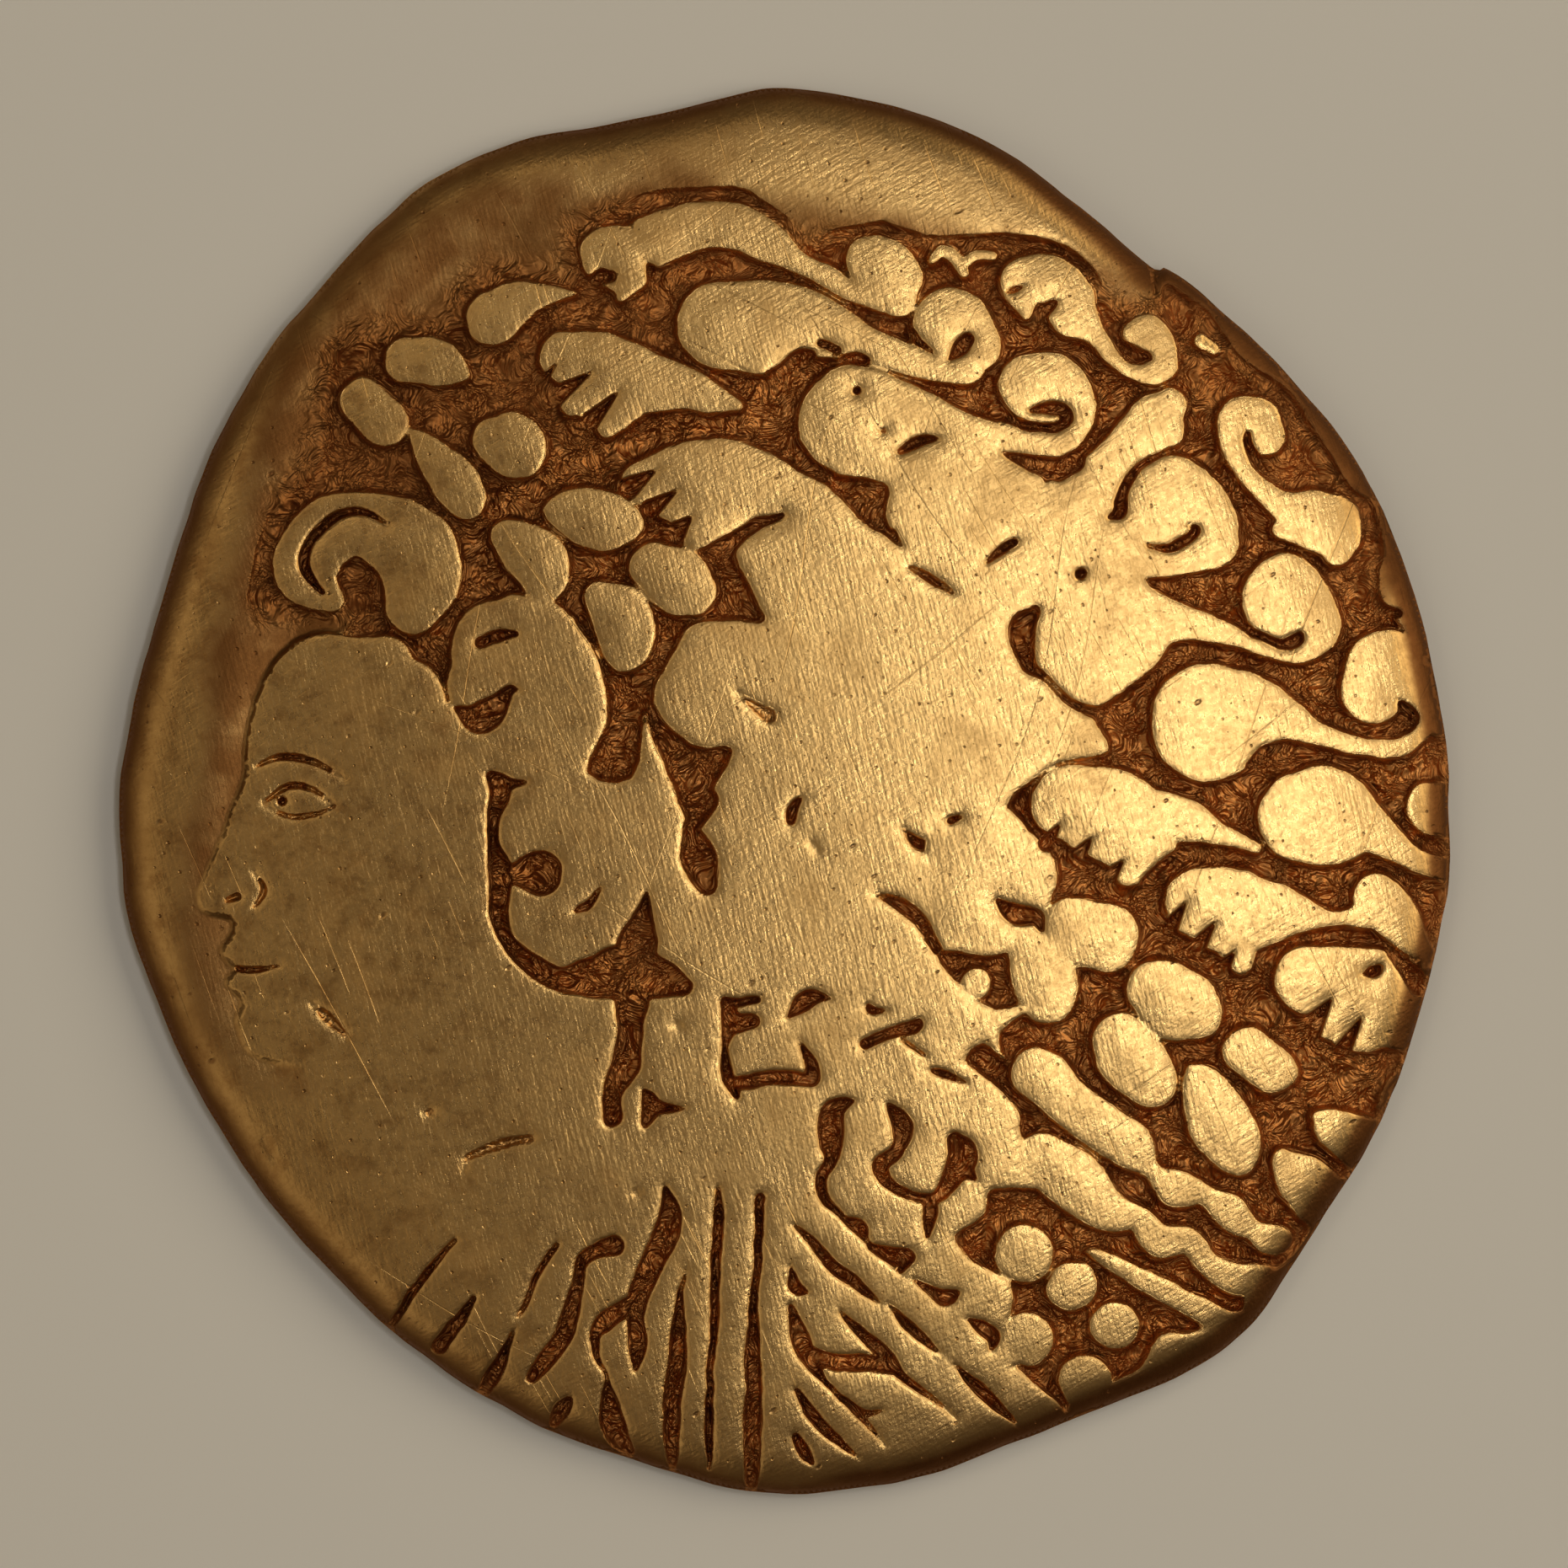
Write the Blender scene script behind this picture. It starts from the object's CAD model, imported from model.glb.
# %% [markdown]
# A struck gold coin, lying on its dished back with the wreathed head up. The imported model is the
# fixed frame: it says how large the coin is and where it lies. Everything here is worked out in
# millimetres and turned into metres when a mesh is made.

# %% Load the frame
import math

import bpy
import numpy as np
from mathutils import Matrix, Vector, geometry


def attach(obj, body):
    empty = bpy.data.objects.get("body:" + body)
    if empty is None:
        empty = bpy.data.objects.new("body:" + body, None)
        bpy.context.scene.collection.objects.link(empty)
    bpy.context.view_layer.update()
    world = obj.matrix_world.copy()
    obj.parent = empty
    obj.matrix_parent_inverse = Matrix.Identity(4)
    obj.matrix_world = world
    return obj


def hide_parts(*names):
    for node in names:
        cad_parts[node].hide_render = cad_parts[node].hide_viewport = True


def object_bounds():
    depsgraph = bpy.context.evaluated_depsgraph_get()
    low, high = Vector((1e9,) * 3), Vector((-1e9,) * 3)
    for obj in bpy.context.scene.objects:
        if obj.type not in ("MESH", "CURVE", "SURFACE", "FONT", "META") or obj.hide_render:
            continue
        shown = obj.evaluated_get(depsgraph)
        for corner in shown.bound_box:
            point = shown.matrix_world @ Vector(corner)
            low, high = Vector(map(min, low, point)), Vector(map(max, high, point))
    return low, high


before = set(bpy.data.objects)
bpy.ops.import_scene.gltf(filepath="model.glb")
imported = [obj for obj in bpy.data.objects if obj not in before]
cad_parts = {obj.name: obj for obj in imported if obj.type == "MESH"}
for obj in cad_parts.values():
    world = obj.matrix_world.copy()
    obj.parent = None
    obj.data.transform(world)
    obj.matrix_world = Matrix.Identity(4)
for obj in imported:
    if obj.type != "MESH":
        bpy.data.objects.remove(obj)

MM = 0.001
CAD_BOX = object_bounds()
CAD_LOW, CAD_HIGH = (np.array(corner) / MM for corner in CAD_BOX)
print("solid, mm:", np.round(CAD_HIGH - CAD_LOW, 2))

# %% [markdown]
# A worn coin is mostly wide, gentle forms, so its sizes are few: the dome of the front, the dish of
# the back, the rolled edge, and how deep the ground lies between the curls. Curves are given by a
# few points each and made smooth later, because a smooth curve through a few points is easier to
# read and to change than a long list.

# %% The coin's sizes, in millimetres
CROWN_HEIGHT = 1.60      # table to the highest point of the domed front
DOME_SAG = 0.76          # how far the dome falls from the middle to the rim
MEAN_RADIUS = 12.8
DISH_DEPTH = 0.56
CONTACT_OUTER = 0.75     # the flat ring that the coin rests on, inward from the rim
CONTACT_INNER = 1.90
EDGE_ROUND = 0.75        # how wide the rolled edge is, and below how far it drops
FRONT_ROLL = 0.34
BACK_ROLL = 0.28
SHOULDER_DROP = 0.05     # the front also falls off gently before its rolled edge
SHOULDER_WIDTH = 2.0
GROUND_DEPTH = 0.30
WALL = 0.13              # how wide the sloping side of a raised shape is
HOLLOW_DEPTH = 0.22
HOLLOW_SLOPE = 1.6
FADE_TOP, FADE_BOTTOM, FADED_SHARE = -1.0, -6.0, 0.45    # the hollow grows shallow between these
BACK_RELIEF = 0.18
BACK_WALL = 0.20
print("front rises", CROWN_HEIGHT, "mm over the table; the ground lies", GROUND_DEPTH, "mm deeper")

# %% [markdown]
# Two kinds of shape carry the design. An outline is a closed smooth curve. A band is a run of
# circles, x, y and radius, joined into a ribbon of changing width: it suits a curl, a leaf, a fold
# or a groove, and a single circle is a bead. The same shapes are in the solid, so both agree.
# The outlines come first: the blank, the shallow hollow inside its border, and the ground.

# %% Outlines of the blank, the hollow and the ground
blank = [
  [0, 13.12], [2, 12.8], [3.9, 12.05], [5.3, 11.05], [6.85, 9.8], [7.15, 9.76], [8, 9.1], [9.5, 7.67],
  [10.83, 5.94], [11.77, 3.65], [12.3, 1.3], [12.46, -0.6], [12.3, -2.65], [11.7, -4.75], [11.05, -6.45],
  [10.15, -7.87], [9, -9.75], [8, -10.65], [6.55, -11.35], [4, -12.35], [2.4, -12.93], [0, -13.2],
  [-2.1, -12.8], [-5.05, -11.7], [-8, -9.55], [-10.5, -6.5], [-12.1, -3.1], [-12.45, -0.9], [-12.3, 1.05],
  [-11.2, 5.05], [-10.25, 7.25], [-9, 9.05], [-7, 11.15], [-5, 12.14], [-3, 12.5], [-1, 12.98],
]
hollow = [
  [-11, -0.5], [-10.6, 2], [-10.2, 4.5], [-9.5, 7.2], [-8.5, 9.15], [-6.5, 10.7], [-4.8, 11.3], [-1.4, 11.4],
  [0.5, 10.85], [3.5, 10.55], [5.9, 9.9], [7.4, 9.4], [9.3, 7.75], [10.6, 5.9], [11.5, 3.6], [10.5, 3.6],
  [8, 7], [4, 9], [-2, 8], [-6, 5], [-8, 2], [-8.6, -1], [-8.9, -4.2], [-8.9, -5.6], [-9.9, -5.7],
  [-10.8, -4.6], [-11.2, -3], [-11.25, -1.8],
]
ground = [
  [-9.9, 3.3], [-9.9, 4.3], [-9.5, 5.5], [-8.9, 6.3], [-8.75, 7.6], [-8.5, 8.35], [-7.6, 8.65], [-6.4, 8.85],
  [-6.1, 9.35], [-5.2, 9.75], [-4.2, 9.65], [-4.1, 10.3], [-3.4, 10.85], [-2.4, 11.15], [-1, 11.25],
  [-0.2, 10.85], [0.4, 10.35], [1, 10.45], [1.8, 10.6], [2.6, 10.35], [3.8, 10.35], [5, 10.25], [5.7, 9.8],
  [6.1, 9.15], [6.9, 9.1], [7.1, 9.4], [7.5, 9.25], [8.05, 8.75], [8.6, 7.95], [9.3, 7.55],
  [9.75, 6.95], [10.3, 6.05], [10.65, 5.5], [11.05, 5.3], [11.2, 4.4], [11.1, 4.05], [11.1, 3.6],
  [11.4, 3.2], [12.1, 2], [12.1, 0.95], [13.5, 0.9], [13.5, -7], [10.6, -7.3],
  [9.8, -8.3], [9.3, -8.9], [8.6, -9.2], [8.55, -9.7], [8, -9.75], [7.75, -10.15], [7, -10.2], [6.65, -10.8],
  [6.1, -11.1], [5.4, -11.6], [4.5, -10.9], [4.2, -10], [4.2, -9.2], [3.5, -8.8], [3.2, -8.3],
  [3.75, -7.9], [3.85, -7.45], [5.1, -7.4], [4.4, -6.5], [4.35, -6.05], [3.9, -5.5], [3.35, -5],
  [3.7, -4.7], [4.1, -5], [4, -4.5], [4.9, -3.9], [3.9, -4.1], [3.2, -3.6], [2.8, -3.1], [3.4, -3],
  [4.2, -3], [4, -2], [4.9, -2], [5, -1.4], [4.6, -0.85], [4.1, -0.5], [4.4, 0.05], [5.1, 0.5], [6, 0.7],
  [5.7, 1.45], [6.2, 1.75], [6.8, 2.6], [7.8, 2.9], [8, 3.2], [7, 3.6], [6.7, 4], [7.6, 4.1], [7.9, 4.6],
  [7, 5], [6.5, 5.2], [6.7, 5.8], [7, 6.3], [7.4, 6.5], [7.3, 7.3], [6.8, 7.2], [6.2, 6.7], [5.5, 5.9],
  [5, 5.6], [4.6, 5.75], [4.1, 6.3], [5, 6.5], [4.4, 6.7], [3.4, 7], [2.4, 7.5], [1.6, 7.85], [0.9, 7.8],
  [0.35, 7.2], [0.3, 6.5], [1, 5.85], [1.9, 5.75], [1.85, 5.1], [2.1, 4.6], [1.4, 5], [0.8, 5.6],
  [0, 6], [-0.8, 6.4], [-1.6, 6.5], [-2.4, 6.2], [-3.1, 5.6], [-2.2, 5], [-1.7, 4.4], [-1, 4.75],
  [-0.9, 4.3], [-0.6, 3.6], [-0.4, 3.1], [-1.5, 3.1], [-2, 2.7], [-2.4, 1.6], [-1.7, 0.8], [-1, 0.7],
  [-1.5, -0.3], [-1.8, -0.6], [-2.5, 1.1], [-2.6, 1.3], [-2.8, 0.2], [-3.7, 0.3], [-3.3, 1.3],
  [-3.5, 2.4], [-4.3, 3.5], [-5.5, 3.5], [-6.1, 3.1], [-6.25, 2.4], [-6.6, 2.5], [-7.5, 2.95], [-8.8, 3.2],
]
print("outline points:", len(blank), len(hollow), len(ground))

# %% [markdown]
# The face is a calm, general one in profile, by the old rule of thirds: hair line, brow, foot of
# the nose and chin lie equally far apart. Every point hangs on one of these levels, so the whole
# face moves with them. Its few lines are bands: brow, eyelids, eye, nostril and lips.

# %% The face, by thirds
HAIR_LINE = 2.9
FACE_THIRD = 2.6
BROW = HAIR_LINE - FACE_THIRD
NOSE_FOOT = BROW - FACE_THIRD
CHIN = NOSE_FOOT - FACE_THIRD
LIPS = NOSE_FOOT - FACE_THIRD * 0.4
FACE_FRONT = -10
profile = [              # how far behind the face's front, which level, how far above it
  (2.4, HAIR_LINE, -0.1), (1.1, HAIR_LINE, -0.1), (0.45, HAIR_LINE, -0.7), (0.12, BROW, 1.1),
  (0, BROW, 0.3), (0.02, BROW, -0.1), (-0.3, BROW, -0.9), (-0.75, NOSE_FOOT, 0.75),
  (-0.92, NOSE_FOOT, 0.35), (-0.78, NOSE_FOOT, 0.05), (-0.3, NOSE_FOOT, -0.05),
  (-0.28, NOSE_FOOT, -0.4), (-0.46, LIPS, 0.28), (-0.2, LIPS, 0), (-0.36, LIPS, -0.28),
  (-0.08, LIPS, -0.62), (-0.18, CHIN, 0.55), (0.05, CHIN, 0.05), (0.7, CHIN, -0.2),
  (1.5, CHIN, -0.5), (2.2, CHIN, -1.4),
]
face = [[FACE_FRONT + back, level + up] for back, level, up in profile]
face += [[-5, -6], [-4, -2], [-6.9, 1.9], [-6.9, 2.5]]
features = [             # how far behind the front, height, radius, three numbers a circle
  [0.15, BROW + 0.12, 0.03, 0.6, BROW + 0.3, 0.07, 1.2, BROW + 0.22, 0.07, 1.8, BROW - 0.1, 0.02],
  [0.3, BROW - 0.55, 0.03, 0.75, BROW - 0.25, 0.07, 1.2, BROW - 0.3, 0.06, 1.65, BROW - 0.62, 0.02],
  [0.3, BROW - 0.6, 0.02, 0.75, BROW - 0.8, 0.05, 1.2, BROW - 0.78, 0.05, 1.65, BROW - 0.62, 0.02],
  [0.64, BROW - 0.52, 0.1],
  [-0.4, NOSE_FOOT + 0.22, 0.05, -0.2, NOSE_FOOT + 0.3, 0.08],
  [0.12, NOSE_FOOT + 0.75, 0.02, 0.3, NOSE_FOOT + 0.42, 0.06, 0.12, NOSE_FOOT + 0.1, 0.03],
  [-0.3, LIPS, 0.06, 0.1, LIPS - 0.03, 0.07, 0.6, LIPS + 0.05, 0.02],
]
face_lines = [[FACE_FRONT + v if k % 3 == 0 else v for k, v in enumerate(row)] for row in features]
print("face, mm tall:", round(HAIR_LINE - CHIN, 2))

# %% [markdown]
# The raised work begins with the leaves of the wreath. A leaf swells and thins along its way, which
# a band of three or four circles gives at once. Rivers are bands too: narrow arms of the sunken
# ground that run in between shapes that wear has nearly joined.

# %% Rivers of ground and leaves of the wreath
rivers = [
  [-1.5, -0.2, 0.3, -1.75, -0.8, 0.12],
  [-1.75, -0.7, 0.14, -1.6, -1.3, 0.33, -1.45, -1.75, 0.2],
  [2, 4.75, 0.12, 2.2, 4.55, 0.03],
  [2.35, 4.12, 0.05, 2.7, 3.9, 0.09, 3.1, 3.65, 0.04],
  [4.65, 3.35, 0.1, 4.4, 2.95, 0.26, 4.5, 2.35, 0.16, 4.85, 2.05, 0.07, 5.3, 1.6, 0.08, 5.8, 1.45, 0.12],
  [2.2, -0.75, 0.02, 2.5, -1.05, 0.13, 2.95, -1.05, 0.08],
  [1.75, -1.98, 0.04, 2.2, -2.15, 0.14, 2.55, -2.5, 0.12, 2.8, -3, 0.1],
  [4.35, -4.6, 0.1, 4.9, -4.62, 0.16, 5.4, -5, 0.3],
  [-9.2, 3.1, 0.3, -8, 3, 0.22, -7.2, 2.75, 0.2, -6.5, 2.5, 0.25, -6.35, 2, 0.07, -6.25, 1.6, 0.03],
]
wreath_leaves = [
  [-7.05, 8.02, 0.42, -6.5, 7.95, 0.44, -6.2, 7.85, 0.28, -5.88, 7.7, 0.03],
  [-7.85, 7.25, 0.42, -7.5, 6.87, 0.45, -7.32, 6.72, 0.3],
  [-6.98, 6.68, 0.03, -6.6, 6.25, 0.3, -6.2, 5.8, 0.43, -5.98, 5.45, 0.4, -5.95, 5.25, 0.22],
  [-5.4, 6.5, 0.44, -5.05, 6.4, 0.6, -4.88, 6.3, 0.46],
  [-4.47, 5.2, 0.05, -4, 5.15, 0.42, -3.5, 5, 0.55, -3, 4.95, 0.36, -2.66, 4.93, 0.05],
  [-5.2, 4.72, 0.28, -4.75, 4.38, 0.52, -4.5, 4.05, 0.5, -4.55, 3.6, 0.2],
  [-2.4, 4.1, 0.47, -2, 3.87, 0.6, -1.75, 3.7, 0.48],
  [-3.42, 3.62, 0.27, -3.05, 3.2, 0.56, -2.98, 2.75, 0.48, -2.97, 2.5, 0.34],
  [3.6, -1.2, 1, 3.75, -1.9, 1.2],
  [5.38, -2.65, 0.64, 5.95, -2.78, 0.64],
  [4.65, -3, 0.5, 4.85, -3.5, 0.6, 4.88, -3.85, 0.5],
  [6.85, -3.75, 0.52, 7.25, -3.95, 0.7, 7.62, -4.15, 0.54],
  [6.2, -4.65, 0.48, 6.5, -5.04, 0.62, 6.8, -5.4, 0.5],
  [8.6, -4.87, 0.44, 9.1, -5.22, 0.44],
  [7.5, -5.15, 0.03, 7.8, -5.6, 0.42, 8.1, -6.2, 0.6, 8.35, -6.6, 0.5, 8.5, -6.95, 0.25],
  [9.95, -6.1, 0.12, 10.4, -6.4, 0.42, 11.2, -6.8, 0.55],
  [9.3, -6.95, 0.22, 9.75, -7.4, 0.5, 10.3, -7.9, 0.55],
  [11.12, -5.9, 0.05, 11.4, -5.45, 0.13, 12, -5, 0.15],
  [-3.95, 7.15, 0.22, -3.6, 7.35, 0.3],
  [-3.3, 6.75, 0.2, -2.9, 7.1, 0.28],
]
print("rivers:", len(rivers), "leaves:", len(wreath_leaves))

# %% [markdown]
# The curls could be copied from one, but the die cutter made each by hand and no two are alike. So
# every curl has its own band, thick at the head and drawn out to a tail that may roll up again.

# %% Curls, ribbons and beads
curls = [
  [-8.45, 3.5, 0.22, -8.92, 4.1, 0.58, -8.5, 4.8, 0.64, -7.8, 4.95, 0.6, -7.05, 4.6, 0.75, -6.75, 4, 0.74,
    -6.95, 3.35, 0.48],
  [-5.45, 8.78, 0.5, -5, 9.08, 0.37, -4.5, 9.2, 0.2, -3.95, 9.25, 0.04],
  [-3.3, 9.95, 0.52, -3, 9.85, 0.58, -2.9, 9.5, 0.28, -3.05, 9.2, 0.1],
  [-2.5, 10.2, 0.5, -1.5, 10.52, 0.44, -0.8, 10.45, 0.42, -0.25, 10.15, 0.34, 0.2, 9.85, 0.22, 0.7, 9.6, 0.2,
    1.2, 9.3, 0.19, 1.8, 9.25, 0.35],
  [1.62, 9.85, 0.5, 1.95, 9.6, 0.57, 2.1, 9.15, 0.34],
  [-1.2, 8.65, 0.8, -0.4, 8.6, 0.88, 0.4, 8.65, 0.64, 1.2, 8.4, 0.42, 1.9, 8.15, 0.3, 2.6, 7.95, 0.32,
    3.3, 8, 0.5],
  [3.1, 8.6, 0.75, 3.45, 8.3, 0.6],
  [2.7, 9.85, 0.05, 2.92, 10.05, 0.11, 3.15, 9.92, 0.12, 3.3, 9.62, 0.1],
  [3.3, 9.75, 0.08, 3.55, 9.93, 0.1, 3.9, 9.9, 0.07],
  [4.5, 8.8, 0.08, 4.45, 9.4, 0.42, 4.9, 9.5, 0.47, 5.3, 9.2, 0.42, 5.35, 8.85, 0.42, 5.74, 8.5, 0.2,
    6.08, 8.06, 0.14, 6.4, 7.8, 0.13, 6.75, 7.73, 0.2, 7, 7.85, 0.28, 7, 8.25, 0.3, 6.75, 8.52, 0.32,
    6.5, 8.5, 0.2],
  [4.6, 7.5, 0.6, 5, 7.4, 0.68, 5.3, 6.95, 0.45, 5.15, 6.5, 0.3, 4.6, 6.42, 0.22, 4, 6.5, 0.35],
  [-4.1, 8.05, 0.46, -3.4, 7.8, 0.7, -2.7, 7.6, 0.6, -1.9, 7.45, 0.42, -1.3, 7.25, 0.25, -0.9, 7.15, 0.1],
  [-3.3, 7.4, 0.5, -3.1, 6.95, 0.3],
  [-3.8, 7.4, 0.3, -3.75, 7.05, 0.15],
  [-2.7, 5.75, 0.34, -2, 5.75, 0.62, -1, 5.7, 0.78, 0.2, 5, 0.75],
  [1.2, 6.85, 0.95, 2, 6.6, 0.92, 3, 6.1, 0.8, 4, 5.4, 0.85],
  [5.2, 4.9, 0.9, 6.1, 5.9, 0.5, 6.8, 6.75, 0.48, 7.2, 7.15, 0.3],
  [7.25, 5.35, 0.85, 7.65, 5, 0.76, 7.95, 4.55, 0.44, 7.6, 4.25, 0.22, 6.9, 4.15, 0.2, 6, 4.3, 0.45],
  [8.95, 6.6, 0.38, 8.75, 6.92, 0.4, 8.42, 6.85, 0.36, 8.35, 6.3, 0.2, 8.72, 5.75, 0.18, 9.3, 5.3, 0.26,
    9.9, 5, 0.54, 10.3, 4.85, 0.5, 10.3, 4.45, 0.3],
  [9.3, 3.6, 0.78, 9.65, 3.3, 0.66, 9.95, 2.9, 0.38, 9.6, 2.52, 0.16, 9, 2.62, 0.15, 8.3, 2.85, 0.19,
    7.5, 3.05, 0.3, 6.8, 3.1, 0.52, 5.9, 2.8, 1.1],
  [7.9, 1.25, 1.08, 8.6, 1.4, 0.74, 9.3, 1.32, 0.38, 10, 1, 0.23, 10.8, 0.78, 0.16, 11.5, 0.78, 0.18,
    11.92, 1.25, 0.2, 11.65, 2, 0.45, 11.2, 2.35, 0.64, 10.95, 1.85, 0.6],
  [9.65, -0.53, 0.85, 10.1, -0.52, 0.9, 10.8, -0.7, 0.47, 11.4, -1.1, 0.28, 12, -1.42, 0.22,
    12.8, -1.6, 0.2],
  [12.05, -0.35, 0.46, 12.7, -0.4, 0.55],
  [5.25, -0.25, 0.68, 6.1, -0.5, 0.88, 6.6, -0.95, 0.7, 6.45, -1.45, 0.36],
  [6.6, -0.55, 0.6, 7.4, -0.6, 0.42, 8.1, -0.85, 0.22, 8.8, -1.12, 0.08],
  [7.7, -2.12, 0.65, 8.3, -2.25, 0.78, 8.9, -2.3, 0.62, 9.6, -2.35, 0.33, 10.3, -2.4, 0.12, 10.9, -2.3, 0.3],
  [8.4, -2.7, 0.45, 8.5, -3.2, 0.22],
  [11, -2, 0.42, 11.3, -2.3, 0.45, 11.65, -2.7, 0.32, 12, -3.1, 0.15],
  [9.75, -3.55, 0.62, 10.4, -3.6, 0.68, 11.1, -3.9, 0.85, 11.8, -4.1, 0.8],
  [10.6, -4.45, 0.45, 10.9, -4.3, 0.6],
  [9.35, 4.85, 0.22, 9.8, 4.8, 0.35],
  [5.3, -0.7, 0.28, 5.6, -0.9, 0.3],
  [10.15, -4.4, 0.25, 10.4, -4.1, 0.4],
  [7.75, 8.35, 0.12, 8, 8.2, 0.1],
]
ribbons = [
  [4.6, -5.3, 0.42, 4.8, -5.35, 0.5, 5.5, -6, 0.42, 6.35, -6.6, 0.44, 6.85, -7.1, 0.17, 7.35, -7.47, 0.33,
    7.85, -7.6, 0.18, 8.35, -7.95, 0.32, 8.7, -8.2, 0.2, 9.1, -8.4, 0.3, 9.35, -8.3, 0.1],
  [4.8, -6.9, 0.5, 5.4, -7.3, 0.55, 6, -7.85, 0.4, 6.6, -8, 0.24, 6.95, -8.42, 0.28, 7.5, -8.42, 0.24,
    7.85, -8.8, 0.2, 8.3, -9.1, 0.28, 9, -9.2, 0.3],
  [5.68, -8.65, 0.04, 6, -8.8, 0.14, 7, -9.3, 0.2, 8, -9.85, 0.25, 8.6, -10.2, 0.3],
]
beads = [
  [4.45, -8.65, 0.53], [5.35, -9.25, 0.46], [6.15, -10, 0.44], [4.5, -10.28, 0.52], [5.6, -11.1, 0.5],
  [3.55, -3.62, 0.28],
]
print("curls:", len(curls), "ribbons:", len(ribbons), "beads:", len(beads))

# %% [markdown]
# Cuts are bands as well, only sunk. The finest are the lines inside the curls, small nicks and the
# cracks in the edge. A comb tooth is a wedge between two strands of a lock, so the middle of its
# mouth, half its width there and its tip say all.

# %% Cuts in the curls and teeth of the combed locks
curl_grooves = [
  [-7.35, 4.95, 0.03, -7.7, 5.13, 0.07, -8.07, 5.19, 0.09, -8.5, 5.02, 0.1, -8.85, 4.6, 0.1,
    -8.93, 4.15, 0.11, -8.62, 3.68, 0.06],
  [-3.7, 9.3, 0.04, -3.5, 9.55, 0.14, -3.2, 9.55, 0.1],
  [-2.3, 9.45, 0.25, -2.53, 9.82, 0.02],
  [-0.3, 7.75, 0.05, 0, 7.75, 0.2, 0.3, 8, 0.2, 0.5, 8.1, 0.1],
  [0.7, 8.3, 0.08, 1, 8.15, 0.08],
  [1.1, 8, 0.05, 1.35, 8, 0.12, 1.55, 8, 0.03],
  [2.35, 8.6, 0.04, 2.5, 8.35, 0.07, 2.8, 8.1, 0.02],
  [3.05, 8, 0.03, 3.25, 8.2, 0.16, 3.38, 8.38, 0.14],
  [4.15, 9.25, 0.03, 4.3, 9.3, 0.06, 4.45, 9.38, 0.02],
  [4.75, 8.85, 0.14, 5, 9.05, 0.08, 5.08, 9.1, 0.02],
  [6.55, 7.97, 0.03, 6.7, 8.08, 0.09, 6.8, 8, 0.05],
  [4.6, 7.05, 0.05, 4.9, 7.1, 0.12, 5.15, 7.05, 0.14, 5.2, 6.85, 0.12, 4.95, 6.72, 0.1, 4.4, 6.8, 0.08],
  [4.05, 6.33, 0.02, 4.5, 6.1, 0.13, 5, 5.95, 0.2, 5.4, 6.1, 0.2],
  [7.05, 6.25, 0.05, 6.6, 6, 0.08, 6.32, 5.55, 0.1, 6.25, 5.15, 0.13, 6.05, 5.05, 0.05],
  [6.75, 4.55, 0.04, 7.15, 4.5, 0.08, 7.5, 4.65, 0.1, 7.68, 4.85, 0.08, 7.55, 4.93, 0.03],
  [8.6, 6.62, 0.07, 8.63, 6.4, 0.09, 8.85, 6.15, 0.05],
  [8.7, 2.95, 0.1, 9.2, 2.72, 0.09, 9.5, 2.78, 0.14, 9.62, 2.9, 0.08],
  [10.5, 1.25, 0.06, 11.1, 1.08, 0.08, 11.55, 1.1, 0.1, 11.72, 1.35, 0.1, 11.5, 1.6, 0.08],
  [8.65, 0.45, 0.1, 9, 0.75, 0.12, 9.6, 0.85, 0.06],
  [6.75, -1.75, 0.12, 7.1, -1.35, 0.1, 7.7, -1.08, 0.06],
  [-1.2, 4.35, 0.25, -0.9, 4.65, 0.15, -0.5, 4.95, 0.11, -0.05, 5.1, 0.06],
  [-5.65, 2.72, 0.12, -5.3, 2.85, 0.12, -5, 2.9, 0.06],
  [-6.1, 1.5, 0.05, -5.75, 1.3, 0.25, -5.45, 1.45, 0.28, -5.1, 1.85, 0.1, -4.9, 1.85, 0.02],
  [2.15, 6.28, 0.06, 2.5, 6.47, 0.1, 2.85, 6.53, 0.03],
  [3.75, 4.2, 0.04, 4, 4.4, 0.1, 4.28, 4.58, 0.09],
  [10.75, -3.45, 0.02, 11, -3.4, 0.12, 11.15, -3.3, 0.02],
  [11.35, -3.1, 0.1, 11.8, -3.6, 0.22, 11.9, -3.8, 0.1],
  [3.95, -2.05, 0.05, 4.3, -2.3, 0.2, 4.7, -2.35, 0.15, 4.8, -2.6, 0.05],
  [-2.9, 10.75, 0.08, -2.8, 10.4, 0.01],
  [1.35, 7.42, 0.09],
  [1.83, 6.65, 0.06],
  [5.5, 4, 0.12],
  [6.88, 9.72, 0.03, 6.9, 9.4, 0.05, 6.9, 9.1, 0.04],
  [9.2, 7.95, 0.02, 9.3, 7.75, 0.05, 9.42, 7.6, 0.02],
  [10.88, 4.3, 0.02, 10.93, 4.05, 0.06, 11, 3.75, 0.05, 10.95, 3.45, 0.06, 10.85, 3.15, 0.03],
  [11.2, 3.35, 0.1, 11.45, 3.3, 0.08],
]
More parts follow.
